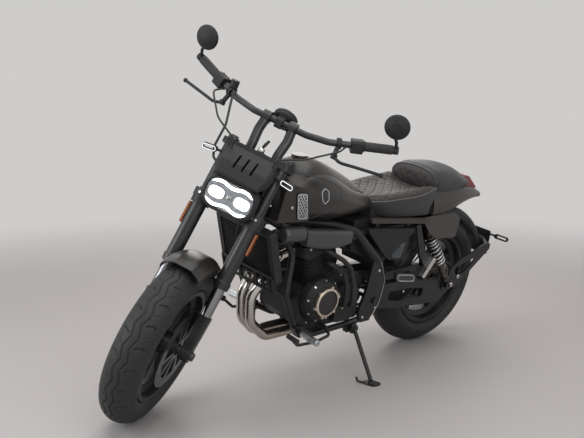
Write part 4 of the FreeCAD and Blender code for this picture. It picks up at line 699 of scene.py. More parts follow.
# Sewn diamonds: how far the hide stands out, from the distance to two crossing rows of seams
def quilting(across, along):
    pitch, slanted = sewing["pitch"], along * sewing["slant"]

    def away(place):
        return np.abs(((place / pitch) % 1.0) - 0.5) * pitch * sewing["square"]

    near = np.minimum(away(slanted + across), away(slanted - across))
    puff = np.clip(near / (pitch * sewing["puffShare"]), 0, 1) ** sewing["puffPower"]
    return sewing["puff"] * puff - sewing["sink"] * np.exp(-(near / sewing["width"]) ** 2)


# Section of a seat at each place along: a smooth line through base, side, shoulder and crown
def seatSection(look, along):
    fine = lineThrough(np.array(look["rows"]), 400)
    halfBase, baseZ, halfWide, wideZ, halfShoulder, shoulderZ, crownZ = [
        np.interp(along, fine[:, 0], fine[:, k]) for k in range(1, 8)]
    half = [np.stack([-halfBase, baseZ], -1), np.stack([-halfWide, wideZ], -1),
            np.stack([-halfShoulder, shoulderZ], -1),
            np.stack([-sectionForm["crownIn"] * halfShoulder,
                      shoulderZ + sectionForm["crownUp"] * (crownZ - shoulderZ)], -1)]
    crown = np.stack([0 * crownZ, crownZ], -1)
    corners = np.stack(half + [crown] + [one * (-1, 1) for one in half[::-1]])
    section = lineThrough(corners, look["across"]).transpose(1, 0, 2)
    y = np.broadcast_to(np.asarray(along, float)[:, None], section.shape[:2])
    return np.stack([section[..., 0], y, section[..., 1]], -1)


# Seat: its sections drawn in at both ends, quilted above the seam, and a crowned front face
def seatSheet(look):
    rows, spans = look["rows"], sectionForm["spans"]
    along = np.linspace(rows[0][0], rows[-1][0], look["long"])
    y = along[:, None]
    points = seatSection(look, along)
    middle = points.mean(1, keepdims=True)
    gap = np.minimum(along - along[0], along[-1] - along) / look["cap"]
    draw = np.sqrt(np.clip(1 - (1 - np.clip(gap, 0, 1)) ** 2, 0, 1))[:, None]
    shrink = 1 - look["shrink"] * (1 - draw)
    points[..., 0] *= shrink
    points[..., 2] = middle[..., 2] + (points[..., 2] - middle[..., 2]) * shrink
    place = np.linspace(0, spans, look["across"])
    place = np.minimum(place, spans - place)[None]
    steps = np.linalg.norm(np.diff(points[len(along) // 2], axis=0), axis=1)
    spread = np.concatenate([[0], np.cumsum(steps)])
    spread = (spread - spread[-1] / 2)[None]
    (start, stop), fade, seam = look["quilt"], sewing["fade"], look["seam"]
    onTop = (smoothStep(seam, seam + sewing["onset"], place)
             * smoothStep(start - fade, start + fade, y)
             * (1 - smoothStep(stop - fade, stop + fade, y)))
    raised = onTop * quilting(spread, y)
    if seam:
        raised = raised - sewing["seamDeep"] * np.exp(-((place - seam) / sewing["seamWide"]) ** 2)
    else:
        for band in sewing["bands"]:
            groove = sewing["bandDeep"] * np.exp(-((y - band) / sewing["bandWide"]) ** 2)
            raised = raised - groove * (place > sewing["bandFrom"])
    normal = gridNormals(points)
    normal *= np.sign((normal * (points - middle)).sum(-1).mean())
    points = points + raised[..., None] * normal
    points = np.concatenate([points, points[:, :1] * (0, 1, 1)], 1)
    centre = points[:1].mean(1, keepdims=True) * (0, 1, 1)
    share = np.linspace(0, 1, sewing["faceRings"])[:, None]
    face = centre + (points[:1] - centre) * share[..., None]
    face[..., 1] -= look["bulge"] * (1 - share ** sewing["facePower"])
    if look["bulge"]:
        face[..., 1] -= (quilting(face[..., 0], face[..., 2] - sewing["faceMiddle"])
                         * (1 - smoothStep(*sewing["faceFade"], share)))
    back = np.repeat(points[-1:].mean(1, keepdims=True), points.shape[1], 1)
    points = np.concatenate([face[:-1], points, back])
    uv = np.zeros((*points.shape[:2], 2))
    uv[..., 1] = points[..., 1] / 1000
    if look["bulge"]:
        uv[:len(face) - 1, :, 0] = 1.0
    else:
        uv[len(face) - 1:, :, 0] = np.append(place[0] / (spans / 2), 0)
    return points, gridFaces(len(points), points.shape[1], False, True), uv


# Piping along a seat: the seam line of both sides, or rings round the pillion's shell
def pipings(look):
    if look["seam"]:
        along = np.linspace(look["quilt"][0] - 4, look["quilt"][1] + 4, 120)
        section = seatSection(look, along)
        spot = int(round(look["seam"] / sectionForm["spans"] * (look["across"] - 1)))
        return [tube(section[:, spot], sewing["piping"], 8),
                tube(section[:, -1 - spot], sewing["piping"], 8)]
    ring = seatSection(look, np.array([look["rows"][0][0] + 4.0]))[0]
    drawn = (sewing["rimReach"], 1, 1)
    ring = np.vstack([ring, ring[-1] * drawn, ring[0] * drawn])
    return [tube(ring, sewing["rim"], 8, near=(0, 1, 0), closed=True)]


for name, look in seatLooks.items():
    cover = makePiece(name, [seatSheet(look)], "frame", "seatHide", merge=0.00001)
    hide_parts(look["node"])
    makePiece(name + "Piping", pipings(look), "frame", "seatPiping" if look["seam"] else "seatSide")
print("seats sewn")

# Rear springs
springLook = {"turns": 8.5, "wire": 4.4, "coil": 26.5, "start": 35.0, "stop": 192.0, "ease": 0.035,
              "top": (128, 561, 600), "low": (147, 725, 360)}


# Coil: a helix round the damper's line, its first and last turns pressed nearly flat
def springSheet(side):
    top = np.array(springLook["top"], float) * (side, 1, 1)
    low = np.array(springLook["low"], float) * (side, 1, 1)
    axis = (low - top) / np.linalg.norm(low - top)
    t = np.linspace(0, 1, 260)
    eased = t - springLook["ease"] * np.sin(2 * np.pi * t)
    turn = 2 * np.pi * springLook["turns"] * t
    flat = np.cross(axis, (1.0, 0, 0))
    flat /= np.linalg.norm(flat)
    other = np.cross(axis, flat)
    along = springLook["start"] + (springLook["stop"] - springLook["start"]) * eased
    line = (top + axis * along[:, None] + springLook["coil"]
            * (np.cos(turn)[:, None] * flat + np.sin(turn)[:, None] * other))
    return tube(line, springLook["wire"], 10, near=axis)


springs = makePiece("shockCoils", [springSheet(1), springSheet(-1)], "frame", "springSteel")
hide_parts("shock_springs")

# Chain
chainLook = {"front": (190, 340), "back": (747.5, 323.0), "small": 36.3, "big": 98.0,
             "middle": 90.0, "links": 98, "plate": 6.6, "waist": 4.6, "gap": 3.4, "thick": 1.5,
             "roller": 4.6, "rollerHalf": 2.9, "pin": 2.4, "pinHalf": 7.4, "core": 1.0,
             "waistFrom": 0.3}


# Chain line: two straight runs and two sprocket arcs, spread evenly by length
def chainLine(count):
    front, back = np.array(chainLook["front"], float), np.array(chainLook["back"], float)
    span = back - front
    distance = np.linalg.norm(span)
    slope = math.atan2(span[1], span[0])
    lift = math.asin((chainLook["big"] - chainLook["small"]) / distance)
    up, down = slope + np.pi / 2 + lift, slope - np.pi / 2 - lift
    small = np.linspace(down + 2 * np.pi, up, 200)
    big = np.linspace(up, down, 400)
    arcs = np.concatenate([centre + radius * np.stack([np.cos(turn), np.sin(turn)], -1)
                           for centre, radius, turn in ((front, chainLook["small"], small),
                                                        (back, chainLook["big"], big))])
    arcs = np.vstack([arcs, arcs[:1]])
    length = np.concatenate([[0], np.cumsum(np.linalg.norm(np.diff(arcs, axis=0), axis=1))])
    place = np.linspace(0, length[-1], count, endpoint=False)
    return np.stack([np.interp(place, length, arcs[:, k]) for k in range(2)], -1)


# A profile of (along, radius) and its mirror image on the other end
def bothWays(profile):
    return profile + [(-along, radius) for along, radius in profile[::-1]]


# Links: each pair of pins carries waisted plates, near on even links and far on odd ones
def chainSheets():
    count = chainLook["links"]
    pins = chainLine(count)
    ahead = np.roll(pins, -1, 0)
    middle, way = (pins + ahead) / 2, ahead - pins
    pitch = np.linalg.norm(way, axis=1, keepdims=True)
    way = way / pitch
    square = np.stack([-way[:, 1], way[:, 0]], -1)
    turn = fullTurn(18)
    long = pitch[:, :, None] / 2 + 0 * turn
    px = np.cos(turn) * chainLook["plate"] + np.sign(np.cos(turn)) * long[:, 0]
    atEnds = np.abs(np.cos(turn)) > chainLook["waistFrom"]
    py = np.sin(turn) * np.where(atEnds, chainLook["plate"], chainLook["waist"])
    rim = middle[:, None] + px[..., None] * way[:, None] + py[None, :, None] * square[:, None]
    sheets = []
    offset = chainLook["gap"] + chainLook["thick"] * (np.arange(count) % 2)
    for side in (-1, 1):
        inner, outer = offset[:, None] * side, (offset[:, None] + chainLook["thick"]) * side
        layers = []
        for depth, scale in ((inner, 0.0), (inner, 1.0), (outer, 1.0), (outer, 0.0)):
            ringed = middle[:, None] + (rim - middle[:, None]) * scale
            x = chainLook["middle"] + np.broadcast_to(depth, ringed.shape[:2])
            layers.append(np.concatenate([x[..., None], ringed], -1))
        block = np.stack(layers, 1)
        quads = gridFaces(4, len(turn), False, True)
        step = (np.arange(count) * 4 * len(turn))[:, None, None]
        sheets.append((block.reshape(-1, 3), (quads[None] + step).reshape(-1, 4)))
    ends, inside = chainLook["pinHalf"], chainLook["rollerHalf"]
    pin = bothWays([(-ends, 0), (-ends, chainLook["pin"]), (-inside, chainLook["pin"]),
                    (-inside, chainLook["core"])])
    roller = bothWays([(-inside, 0), (-inside, chainLook["roller"])])
    places = np.concatenate([np.full((count, 1), chainLook["middle"]), pins], 1)
    for profile, steps in ((pin, 8), (roller, 10)):
        turned = turnedSheet(profile, (0, 0, 0), steps=steps)
        sheets.append(scattered(turned, places, (1, 0, 0), 1.0))
    return sheets


chain = makePiece("driveChain", chainSheets(), "frame", "darkSteel", smooth=False)
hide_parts("chain")
print("chain and springs made")

# Headlamp: a band's shape is how much it grows, its depth in the lamp and its flatness
lampLook = {"place": (0, -552, 845), "tilt": -16.0, "lensHalf": 89.6, "lensHeight": 49.6,
            "corner": 4.5, "bandHalf": 85.0, "bandHeight": 35.0, "bandRise": 8.0, "riseLong": 90.0,
            "band": 6.0, "dayShape": (0.0, 3.7, 0.45), "trimShape": (2.0, 5.6, 0.25), "lampX": 51.0,
            "lampZ": -1.0, "lampHalf": (30.0, 20.0), "cupShare": (0.62, 0.55), "eye": 11.0}
lampTurn = np.array(Matrix.Rotation(math.radians(lampLook["tilt"]), 3, "X"))


# From the lamp's own frame, x across and z up its face, to the bike's: turned, then moved
def inLamp(points):
    return np.asarray(points, float) @ lampTurn.T + np.array(lampLook["place"])


# Light band: a flat tube whose line rises over each lamp by a squared sine, with round ends
def lightBand(side, grow, depth, flat):
    half, swell = lampLook["bandHalf"], lampLook["band"] + grow
    x = (half + grow) * np.sin(np.linspace(-np.pi / 2, np.pi / 2, 120))
    rise = lampLook["bandRise"] * np.sin(np.pi * np.abs(x) / lampLook["riseLong"]) ** 2
    end = np.clip(np.abs(x) - half + swell, 0, None) / swell
    radius = np.maximum(swell * np.sqrt(np.clip(1 - end ** 2, 0, 1)), 0.05)
    line = np.stack([x, 0 * x, side * (lampLook["bandHeight"] + rise)], -1)
    points, quads = tube(line, radius, 16, near=(0, 1, 0))
    return inLamp(points * (1, flat, 1) + (0, depth, 0)), quads


# Unit superellipse, |x|^power + |z|^power = 1: power 2 is a circle, higher ones are squarer
def squareRound(power, steps):
    c, s = np.cos(fullTurn(steps)), np.sin(fullTurn(steps))
    size = 1 / (np.abs(c) ** power + np.abs(s) ** power) ** (1 / power)
    return size * c, size * s


# Rounded pad: a superellipse in the lamp's face, domed towards the front
def domePad(x, z, halfX, halfZ, back, rise, power=3.0, rings=9, steps=40):
    c, s = squareRound(power, steps)
    dome = np.linspace(0, np.pi / 2, rings)[:, None]
    points = np.stack([x + halfX * np.sin(dome) * c, back - rise * np.cos(dome) + 0 * c,
                       z + halfZ * np.sin(dome) * s], -1)
    foot = points[-1:] * (1, 0, 1) + (0, back + 1.5, 0)
    points = np.concatenate([points, foot, foot * 0 + foot.mean(1, keepdims=True)])
    return inLamp(points), gridFaces(len(points), steps, False, True)


# Ring round a lamp: a tube along the edge of the same superellipse
def lampRing(x, z, halfX, halfZ, depth, radius):
    c, s = squareRound(3.0, 72)
    line = np.stack([x + halfX * c, np.full(len(c), depth), z + halfZ * s], -1)
    return tube(inLamp(line), radius, 8, near=lampTurn @ (0, 1, 0), closed=True)


lensX, lensZ, corner = lampLook["lensHalf"], lampLook["lensHeight"], lampLook["corner"]
halfX, halfZ = lampLook["lampHalf"]
cupX, cupZ = halfX * lampLook["cupShare"][0], halfZ * lampLook["cupShare"][1]
lampZ, eye = lampLook["lampZ"], lampLook["eye"]
lampSides = [side * lampLook["lampX"] for side in (-1, 1)]
cups = ([lampRing(x, lampZ, halfX + 1.5, halfZ + 1.5, 5.8, 1.5) for x in lampSides]
        + [lampRing(x, lampZ, cupX, cupZ, 4.2, 0.8) for x in lampSides])
lampRows = [  # name, sheets, finish, slot
    ("dayLightBands", [lightBand(side, *lampLook["dayShape"]) for side in (-1, 1)], "dayLight",
     "lamp_glass"),
    ("dayLightTrim", [lightBand(side, *lampLook["trimShape"]) for side in (-1, 1)], "trimGrey",
     "black_plastic"),
    ("lowBeamLamps", [domePad(x, lampZ, halfX, halfZ, 6.2, 2.6) for x in lampSides], "lowBeam",
     "lamp_glass"),
    ("lampCups", cups, "stanchionChrome", "black_plastic"),
    ("middleLens", [domePad(0, -2, eye, eye, 6.0, 4.4, 2.0)], "discSteel", "lamp_glass"),
    ("lampBack", [domePad(0, 0, lensX + 0.2, lensZ + 0.2, 7.6, 0.4, corner, 12, 96)], "lampSpill",
     "black_plastic"),
    ("lampCover", [domePad(0, 0, lensX, lensZ, 0.6, 7.5, corner, 14, 96)], "lampGlass",
     "lamp_glass"),
]
lampPieces = {name: makePiece(name, sheets, "steering", finish)
              for name, sheets, finish, slot in lampRows}
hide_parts("headlamp_lens")
print("headlamp made")

# Details seated on the solids

# Search trees of the nodes that rays have been sent to, by the names of the nodes, and the x
# well outside the bike that the rays start from
trees = {}
outside = 300.0


# Where rays from upright places meet the named nodes: the places and the ways out of the surface
def landing(names, starts, way, steered=False):
    if names not in trees:
        points, faces, count = [], [], 0
        for name in names:
            mesh = nodes[name].data
            corners = np.empty(len(mesh.loops), np.int32)
            mesh.loops.foreach_get("vertex_index", corners)
            faces += (corners.reshape(-1, 3) + count).tolist()
            points += floorPoints(name).tolist()
            count = len(points)
        trees[names] = BVHTree.FromPolygons(points, faces)
    turn = leanTurn @ steerTurn if steered else leanTurn
    hits, outs = [], []
    for start in parked(starts, steered).reshape(-1, 3):
        place, normal = trees[names].ray_cast(Vector(start), Vector(turn @ np.array(way)))[:2]
        if place is not None:
            hits.append(upright(place, steered))
            outs.append(np.array(normal) @ turn)
    return np.array(hits).reshape(-1, 3), np.array(outs).reshape(-1, 3)


# Where a line of (y, z) lands on the tank from one side, lifted off it by a little
def onTank(line, side, lift):
    places, outs = landing(("fuel_tank",), atSide(line, outside, side), (-side, 0, 0))
    return places + outs * lift


# Loop with rounded corners: a quadratic curve replaces each corner over the same distance
def roundLoop(corners, radius, steps=7):
    corners = np.asarray(corners, float)
    before, after = np.roll(corners, 1, 0), np.roll(corners, -1, 0)
    t = np.linspace(0, 1, steps)[None, :, None]

    def towards(other):
        way = other - corners
        size = np.linalg.norm(way, axis=1, keepdims=True)
        return corners + way / size * np.minimum(radius, size * 0.49)

    a, b = towards(before)[:, None], towards(after)[:, None]
    line = (1 - t) ** 2 * a + 2 * t * (1 - t) * corners[:, None] + t ** 2 * b
    return line.reshape(-1, corners.shape[1])


# A loop drawn towards its middle to a share of its size, or spread out by one above 1
def drawnIn(loop, share):
    loop = np.asarray(loop, float)
    return loop.mean(0) + (loop - loop.mean(0)) * share


# Puts a flat loop of (y, z) at one x, on the left or right side of the bike
def atSide(loop, x, side=1):
    loop = np.asarray(loop, float)
    return np.stack([np.full(len(loop), x * side), loop[:, 0], loop[:, 1]], -1)


# Flat plate between two x: a convex loop of (y, z) given thickness
def sidePlate(loop, low, high, side=1):
    loop = np.asarray(loop, float)
    centre = np.broadcast_to(loop.mean(0), loop.shape)
    layers = [(centre, low), (loop, low), (loop, high), (centre, high)]
    points = np.stack([atSide(ring, x, side) for ring, x in layers])
    return points, gridFaces(4, len(loop), False, True)


boltHead = turnedSheet([(-0.4, 0.01), (-0.4, 1), (0.55, 1), (0.7, 0.86), (0.7, 0.52), (0.3, 0.46),
                        (0.3, 0.01)], (0, 0, 0), steps=12)
flatHead = turnedSheet([(-0.3, 0.01), (-0.3, 1), (0.16, 1), (0.3, 0.8), (0.3, 0.01)], (0, 0, 0),
                       steps=20)

# Bolts: each group has its nodes, radius and spots of (y, z) seen from the side, or places to
# look from; a second finish puts the same spots on the right side too
coverTurn = np.radians(10) + fullTurn(9)
caliperMiddle = upright(floorPoints("front_caliper"), True).mean(0) * (0, 1, 1)
boltGroups = [
    # The left cover bolts in bright steel are a painted highlight of dark bolts; the right ones are
    # dark steel
    {"name": "coverBolts", "nodes": ("engine_covers", "engine_cases"), "radius": 5.0,
     "spots": np.stack([-62 + 84 * np.cos(coverTurn), 392 + 84 * np.sin(coverTurn)], -1),
     "finishes": ("brightBolt", "darkSteel")},
    {"name": "caseBolts", "nodes": ("engine_cases", "engine_covers", "cylinders"), "radius": 4.6,
     "spots": [(-170, 470), (-178, 410), (-160, 340), (60, 470), (84, 400), (70, 330), (-20, 292),
               (-100, 288)], "finishes": ("brightBolt",)},
    {"name": "headBolts", "nodes": ("cylinders", "engine_cases"), "radius": 6.0,
     "spots": [(-120, 640), (-60, 652), (0, 640), (-128, 600), (10, 598)],
     "finishes": ("brightBolt",)},
    {"name": "plateBolts", "nodes": ("plate_bracket",), "radius": 11.0,
     "spots": [(718, 388), (783, 318), (826, 351), (934, 371)],
     "finishes": ("brightBolt", "brightBolt")},
    {"name": "frameBolts", "nodes": ("main_frame", "radiator", "tank_shrouds"), "radius": 6.5,
     "spots": [(250, 470), (262, 300), (190, 270), (205, 500), (-300, 800)],
     "finishes": ("brightBolt", "brightBolt")},
    {"name": "clampBolts", "nodes": ("triple_clamps",), "radius": 5.2, "way": (0, 1, 0),
     "places": [alongFork(x, -90, up) for x in (-98, -114, 98, 114) for up in (501, 532)],
     "finishes": ("brightBolt",)},
    {"name": "caliperBolts", "nodes": ("front_caliper",), "radius": 7.0, "way": (-1, 0, 0),
     "places": [caliperMiddle + (outside, y, z) for y, z in ((-14, 22), (-14, -22))],
     "finishes": ("brightBolt",)},
]
for group in boltGroups:
    steered = "places" in group
    for side, finish in zip((1, -1), group["finishes"]):
        starts = group["places"] if steered else atSide(group["spots"], outside, side)
        places, outs = landing(group["nodes"], starts, group.get("way", (-side, 0, 0)), steered)
        if len(places):
            makePiece(group["name"] + ("Right" if side < 0 else ""),
                      [scattered(boltHead, places, outs, group["radius"])],
                      "steering" if steered else "frame", finish, smooth=False)
print("bolts set")

# Air mesh of the tank: two families of fine bars across the insert, inside a rounded rim
meshLook = {"x": 156.4, "corners": [(-268, 750), (-216, 746), (-234, 852), (-285, 856)],
            "share": 0.9, "pitch": 11.5, "first": 0.6, "least": 0.4, "bar": 1.7,
            "slopes": (58, 122), "rim": 2.0, "round": 10, "lift": 0.8, "rimLift": 0.6}


# The stretch of each bar inside the convex outline, from where it crosses its sides
def latticeBars(corners, slope, pitch):
    corners = np.asarray(corners, float)
    way = np.array([math.cos(math.radians(slope)), math.sin(math.radians(slope))])
    across = np.array([-way[1], way[0]])
    spread = corners @ across
    bars = []
    for offset in np.arange(spread.min() + pitch * meshLook["first"], spread.max(), pitch):
        low, high = -1e9, 1e9
        for a, b in zip(corners, np.roll(corners, -1, 0)):
            inward = np.array([-(b - a)[1], (b - a)[0]])
            reach, rise = (across * offset - a) @ inward, way @ inward
            if rise > 0:
                low = max(low, -reach / rise)
            else:
                high = min(high, -reach / rise)
        if high - low > pitch * meshLook["least"]:
            bars.append(np.array([across * offset + way * low, across * offset + way * high]))
    return bars


inner = drawnIn(meshLook["corners"], meshLook["share"])
meshSheets = []
for side in (1, -1):
    for slope in meshLook["slopes"]:
        meshSheets += [tube(atSide(bar, meshLook["x"] + meshLook["lift"], side), meshLook["bar"], 5)
                       for bar in latticeBars(inner, slope, meshLook["pitch"])]
    rim = atSide(roundLoop(inner, meshLook["round"]), meshLook["x"] + meshLook["rimLift"], side)
    meshSheets.append(tube(rim, meshLook["rim"], 8, near=(1, 0, 0), closed=True))
makePiece("tankMesh", meshSheets, "frame", "silverPaint")

# Bare six-sided badge rim on each side of the tank, laid on the skin: a plain outline of (y, z)
badgeLook = {"centre": (-138, 829), "rim": 1.9, "round": 4.0, "lift": 0.5,
             "corners": [(0, 29), (19, 17), (16, -14), (0, -28), (-16, -14), (-19, 17)]}
badgeSheets = []
for side in (1, -1):
    loop = roundLoop(badgeLook["corners"], badgeLook["round"]) + badgeLook["centre"]
    badgeSheets.append(tube(onTank(loop, side, badgeLook["lift"]), badgeLook["rim"], 8,
                            near=(1, 0, 0), closed=True))
makePiece("tankBadges", badgeSheets, "frame", "silverPaint")

# Raised edge round the knee panel of the tank, laid on the skin: a smooth line through (y, z), in a
# grey paler than the tank as a painted highlight along the crease
panelLook = {"points": [(-254, 905), (-219, 906), (-179, 900), (-143, 891), (-103, 879), (-72, 866),
                        (-47, 850), (-39, 833), (-48, 816), (-73, 797), (-106, 775), (-145, 756),
                        (-184, 742), (-221, 735)], "radius": 1.3, "count": 110, "lift": 0.3}
panelLine = lineThrough(np.array(panelLook["points"], float), panelLook["count"])
panelEdgeHighlights = []
for side in (1, -1):
    panelEdgeHighlights.append(tube(onTank(panelLine, side, panelLook["lift"]), panelLook["radius"], 8))
makePiece("panelEdgeHighlights", panelEdgeHighlights, "frame", "podMetal")

# Light rings of the four indicators: a rounded loop on the face of each housing
ringLooks = [
    {"name": "frontIndicatorLights", "inner": (100, -452, 952), "outer": (186, -466, 948),
     "face": -6.2, "body": "steering", "finish": "whiteLight"},
    {"name": "rearIndicatorLights", "inner": (88.3, 1110, 506), "outer": (192, 1110, 508),
     "face": 6.2, "body": "frame", "finish": "orangeLens"},
]
ringForm = {"start": 36.0, "spare": 2.6, "half": 8.5, "round": 8.4, "wire": 1.5}
for look in ringLooks:
    inner, outer = np.array(look["inner"], float), np.array(look["outer"], float)
    start, stop = ringForm["start"], np.linalg.norm(outer - inner) - ringForm["spare"]
    half = ringForm["half"]
    loop = roundLoop([(start, -half), (stop, -half), (stop, half), (start, half)],
                     ringForm["round"])
    line = np.stack([loop[:, 0], np.full(len(loop), look["face"]), loop[:, 1]], -1)
    line = line @ turnFromX(outer - inner).T + inner
    sheets = [tube(line * (side, 1, 1), ringForm["wire"], 8, near=(0, 1, 0), closed=True)
              for side in (1, -1)]
    makePiece(look["name"], sheets, look["body"], look["finish"])

# Bright outline of the slot ahead of the left damper, on its own carrier: each loop has its
# share of the outline's size and the radius of its corners
slotLook = {"corners": [(389, 425), (519, 404), (528, 369), (398, 391)], "face": 134.6,
            "back": 126.0, "carrier": ((1.10, 1.42), 20), "rim": (0.86, 15),
            "floor": ((0.80, 0.66), 9), "wire": 2.3}
slotLoops = {name: roundLoop(drawnIn(slotLook["corners"], slotLook[name][0]), slotLook[name][1])
             for name in ("carrier", "rim", "floor")}
slotFace = slotLook["face"]
makePiece("slotCarrier", [sidePlate(slotLoops["carrier"], slotLook["back"], slotFace)], "frame",
          "blackCasting", smooth=False)
makePiece("slotRim", [tube(atSide(slotLoops["rim"], slotFace + 0.4), slotLook["wire"], 8,
                           near=(1, 0, 0), closed=True)], "frame", "silverPaint")
# Near-black sheet inside the rim: painted shade of the slot
makePiece("slotShadeSheet", [sidePlate(slotLoops["floor"], slotFace - 2, slotFace + 0.5)], "frame",
          "dialBlackAndHoleShade", smooth=False)

# Vented plate of the electrics behind the left side cover, on a dark carrier
ventLook = {"corners": [(343, 506), (398, 500), (420, 565), (354, 574)],
            "carrier": [(322, 500), (424, 486), (446, 560), (430, 606), (352, 560)],
            "back": 118.0, "face": 127.8, "plate": 2.4, "holes": 5, "hole": 2.4,
            "across": (0.16, 0.84), "along": (0.14, 0.72), "bolt": (388, 560), "boltRadius": 5.5}
ventFace, ventTop = ventLook["face"], ventLook["face"] + ventLook["plate"]
a, b, c, d = np.array(ventLook["corners"], float)
u, v = np.meshgrid(np.linspace(*ventLook["across"], ventLook["holes"]),
                   np.linspace(*ventLook["along"], ventLook["holes"]))
u, v = u.ravel()[:, None], v.ravel()[:, None]
spots = (a * (1 - u) + b * u) * (1 - v) + (d * (1 - u) + c * u) * v
ventRows = [  # name, sheet, finish
    ("ventCarrier", sidePlate(roundLoop(ventLook["carrier"], 10), ventLook["back"], ventFace),
     "blackPlastic"),
    ("ventPlate", sidePlate(roundLoop(ventLook["corners"], 6), ventFace - 0.2, ventTop),
     "ventBlue"),
    # Holes of the plate: near-black discs laid on its face, which are painted shade of the holes
    ("ventHoles", scattered(flatHead, atSide(spots, ventTop), (1, 0, 0), ventLook["hole"]),
     "dialBlackAndHoleShade"),
    ("ventBolt", scattered(boltHead, atSide([ventLook["bolt"]], ventTop), (1, 0, 0),
                           ventLook["boltRadius"]), "brightBolt"),
]
for name, sheet, finish in ventRows:
    makePiece(name, [sheet], "frame", finish, smooth=False)

# Bright steel strip along the rear edge of the two frame plates: a painted highlight of the edge
edgeLook = {"points": [(259, 506), (297, 420), (296, 402), (281, 318), (238, 252)], "x": 150.2,
            "radius": 1.9}
edge = lineThrough(np.array(edgeLook["points"], float), 60)
makePiece("plateEdgeHighlights", [tube(atSide(edge, edgeLook["x"], side), edgeLook["radius"], 8)
                         for side in (1, -1)], "frame", "springSteel")

# Bar fittings: places along a grip's line, from the bar end inwards
barLook = {"end": (412, -142, 1132), "way": (217, 98, 48), "bore": 13.2, "grip": 17.4,
           "flange": 22.0, "from": -116.0, "to": -3.0, "knurl": 0.8, "lead": 13.0, "starts": 12,
           "collar": 5.0, "slope": 1.5, "fade": 6.0}
barTurn = turnFromX(barLook["way"])


# From a grip's own frame, x along it, to the bike's, mirrored for the right side
def onBar(points, side=1):
    points = np.asarray(points, float) @ barTurn.T + np.array(barLook["end"], float)
    return points * (side, 1, 1)


# Grip: two crossing families of helical ridges leave diamonds, radius = grip + knurl * sin * sin
def gripSheet(side):
    low, high, grip, flange = (barLook[key] for key in ("from", "to", "grip", "flange"))
    collar, slope, fade = barLook["collar"], barLook["slope"], barLook["fade"]
    s = np.linspace(low + 8, high - 4, 170)
    turn = fullTurn(132)
    around, climb = barLook["starts"] / 2 * turn[None], np.pi * s[:, None] / barLook["lead"]
    ends = smoothStep(s[0], s[0] + fade, s) * (1 - smoothStep(s[-1] - fade, s[-1], s))
    diamonds = np.abs(np.sin(around + climb) * np.sin(around - climb)) * ends[:, None]
    head = [(low, barLook["bore"]), (low, flange), (low + collar, flange),
            (low + collar + slope, grip)]
    tail = [(high - 1, grip), (high, grip - slope), (high, barLook["bore"])]
    along = np.concatenate([[one[0] for one in head], s, [one[0] for one in tail]])
    radius = np.concatenate([np.full((1, len(turn)), one[1]) for one in head]
                            + [grip + barLook["knurl"] * diamonds]
                            + [np.full((1, len(turn)), one[1]) for one in tail])
    points = np.stack([np.repeat(along[:, None], len(turn), 1), radius * np.cos(turn),
                       radius * np.sin(turn)], -1)
    return onBar(points, side), gridFaces(len(along), len(turn), True, True)


grips = makePiece("knurledGrips", [gripSheet(1), gripSheet(-1)], "steering", "gripRubber")
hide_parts("grips")

# Gauge face, its bezel and plain ticks: a long tick follows three short ones
gaugeLook = {"centre": (0, -208, 1074), "way": (0, 0.85, 0.53), "face": 12.0, "radius": 45.0,
             "bezel": 2.5, "bezelWire": 2.0, "ticks": 25, "from": -120, "step": 10, "every": 4,
             "longFrom": 0.74, "shortFrom": 0.84, "end": 0.94, "tickWire": 0.7}
gaugeTurn = turnFromX(gaugeLook["way"])


# From the gauge's own frame, x out of its face, to the bike's
def onGauge(points):
    return np.asarray(points, float) @ gaugeTurn.T + np.array(gaugeLook["centre"], float)


face, size = gaugeLook["face"], gaugeLook["radius"]
dial, quads = turnedSheet([(face - 0.5, 0.05), (face - 0.5, size), (face + 0.3, size),
                           (face + 1.4, size * 0.7), (face + 1.8, 0.05)], (0, 0, 0), steps=64)
makePiece("gaugeDial", [(onGauge(dial), quads)], "steering", "dialBlackAndHoleShade")
turn = fullTurn(72)
ring = size + gaugeLook["bezel"]
bezel = np.stack([np.full(len(turn), face + 0.6), ring * np.cos(turn), ring * np.sin(turn)], -1)
makePiece("gaugeBezel", [tube(onGauge(bezel), gaugeLook["bezelWire"], 8, near=gaugeLook["way"],
                              closed=True)], "steering", "stanchionChrome")
ticks = []
for k in range(gaugeLook["ticks"]):
    spin = math.radians(gaugeLook["from"] + gaugeLook["step"] * k)
    first = gaugeLook["shortFrom" if k % gaugeLook["every"] else "longFrom"]
    ray = np.array([0, math.sin(spin), math.cos(spin)]) * size
    lift = np.array([face + 0.9, 0, 0])
    ticks.append(tube(onGauge([ray * first + lift + (0.5, 0, 0), ray * gaugeLook["end"] + lift]),
                      gaugeLook["tickWire"], 5, near=gaugeLook["way"]))
makePiece("gaugeTicks", ticks, "steering", "whiteLight")

# Mirror glass on the rearward face of each head
mirrorLook = {"centre": (397, -190, 1233), "way": (-0.12, 1, 0.05), "radius": 44.5}
size = mirrorLook["radius"]
glass, quads = turnedSheet([(-0.2, 0.05), (-0.2, size), (0.25, size - 0.5), (0.6, size * 0.5),
                            (0.7, 0.05)], mirrorLook["centre"], mirrorLook["way"], 64)
makePiece("mirrorGlass", [(glass * (side, 1, 1), quads) for side in (1, -1)], "steering",
          "mirrorGlass")

# Switches on the boxes beside the grips: place along the bar, depth and height, radius, finish
switchRows = [(1, -130, 23.5, 8, 6.0, "blackCasting"), (1, -146, 23.5, 10, 5.0, "orangeLens"),
              (1, -138, 23.5, -10, 7.0, "darkSteel"), (-1, -140, 23.5, 10, 8.0, "redSwitch"),
              (-1, -134, 23.5, -10, 5.5, "darkSteel")]
for index, (side, along, deep, high, radius, finish) in enumerate(switchRows):
    way = barTurn @ (0, 1, 0) * (side, 1, 1)
    switch = scattered(boltHead, onBar([(along, deep, high)], side), way, radius)
    makePiece("switch%d" % index, [switch], "steering", finish, smooth=False)

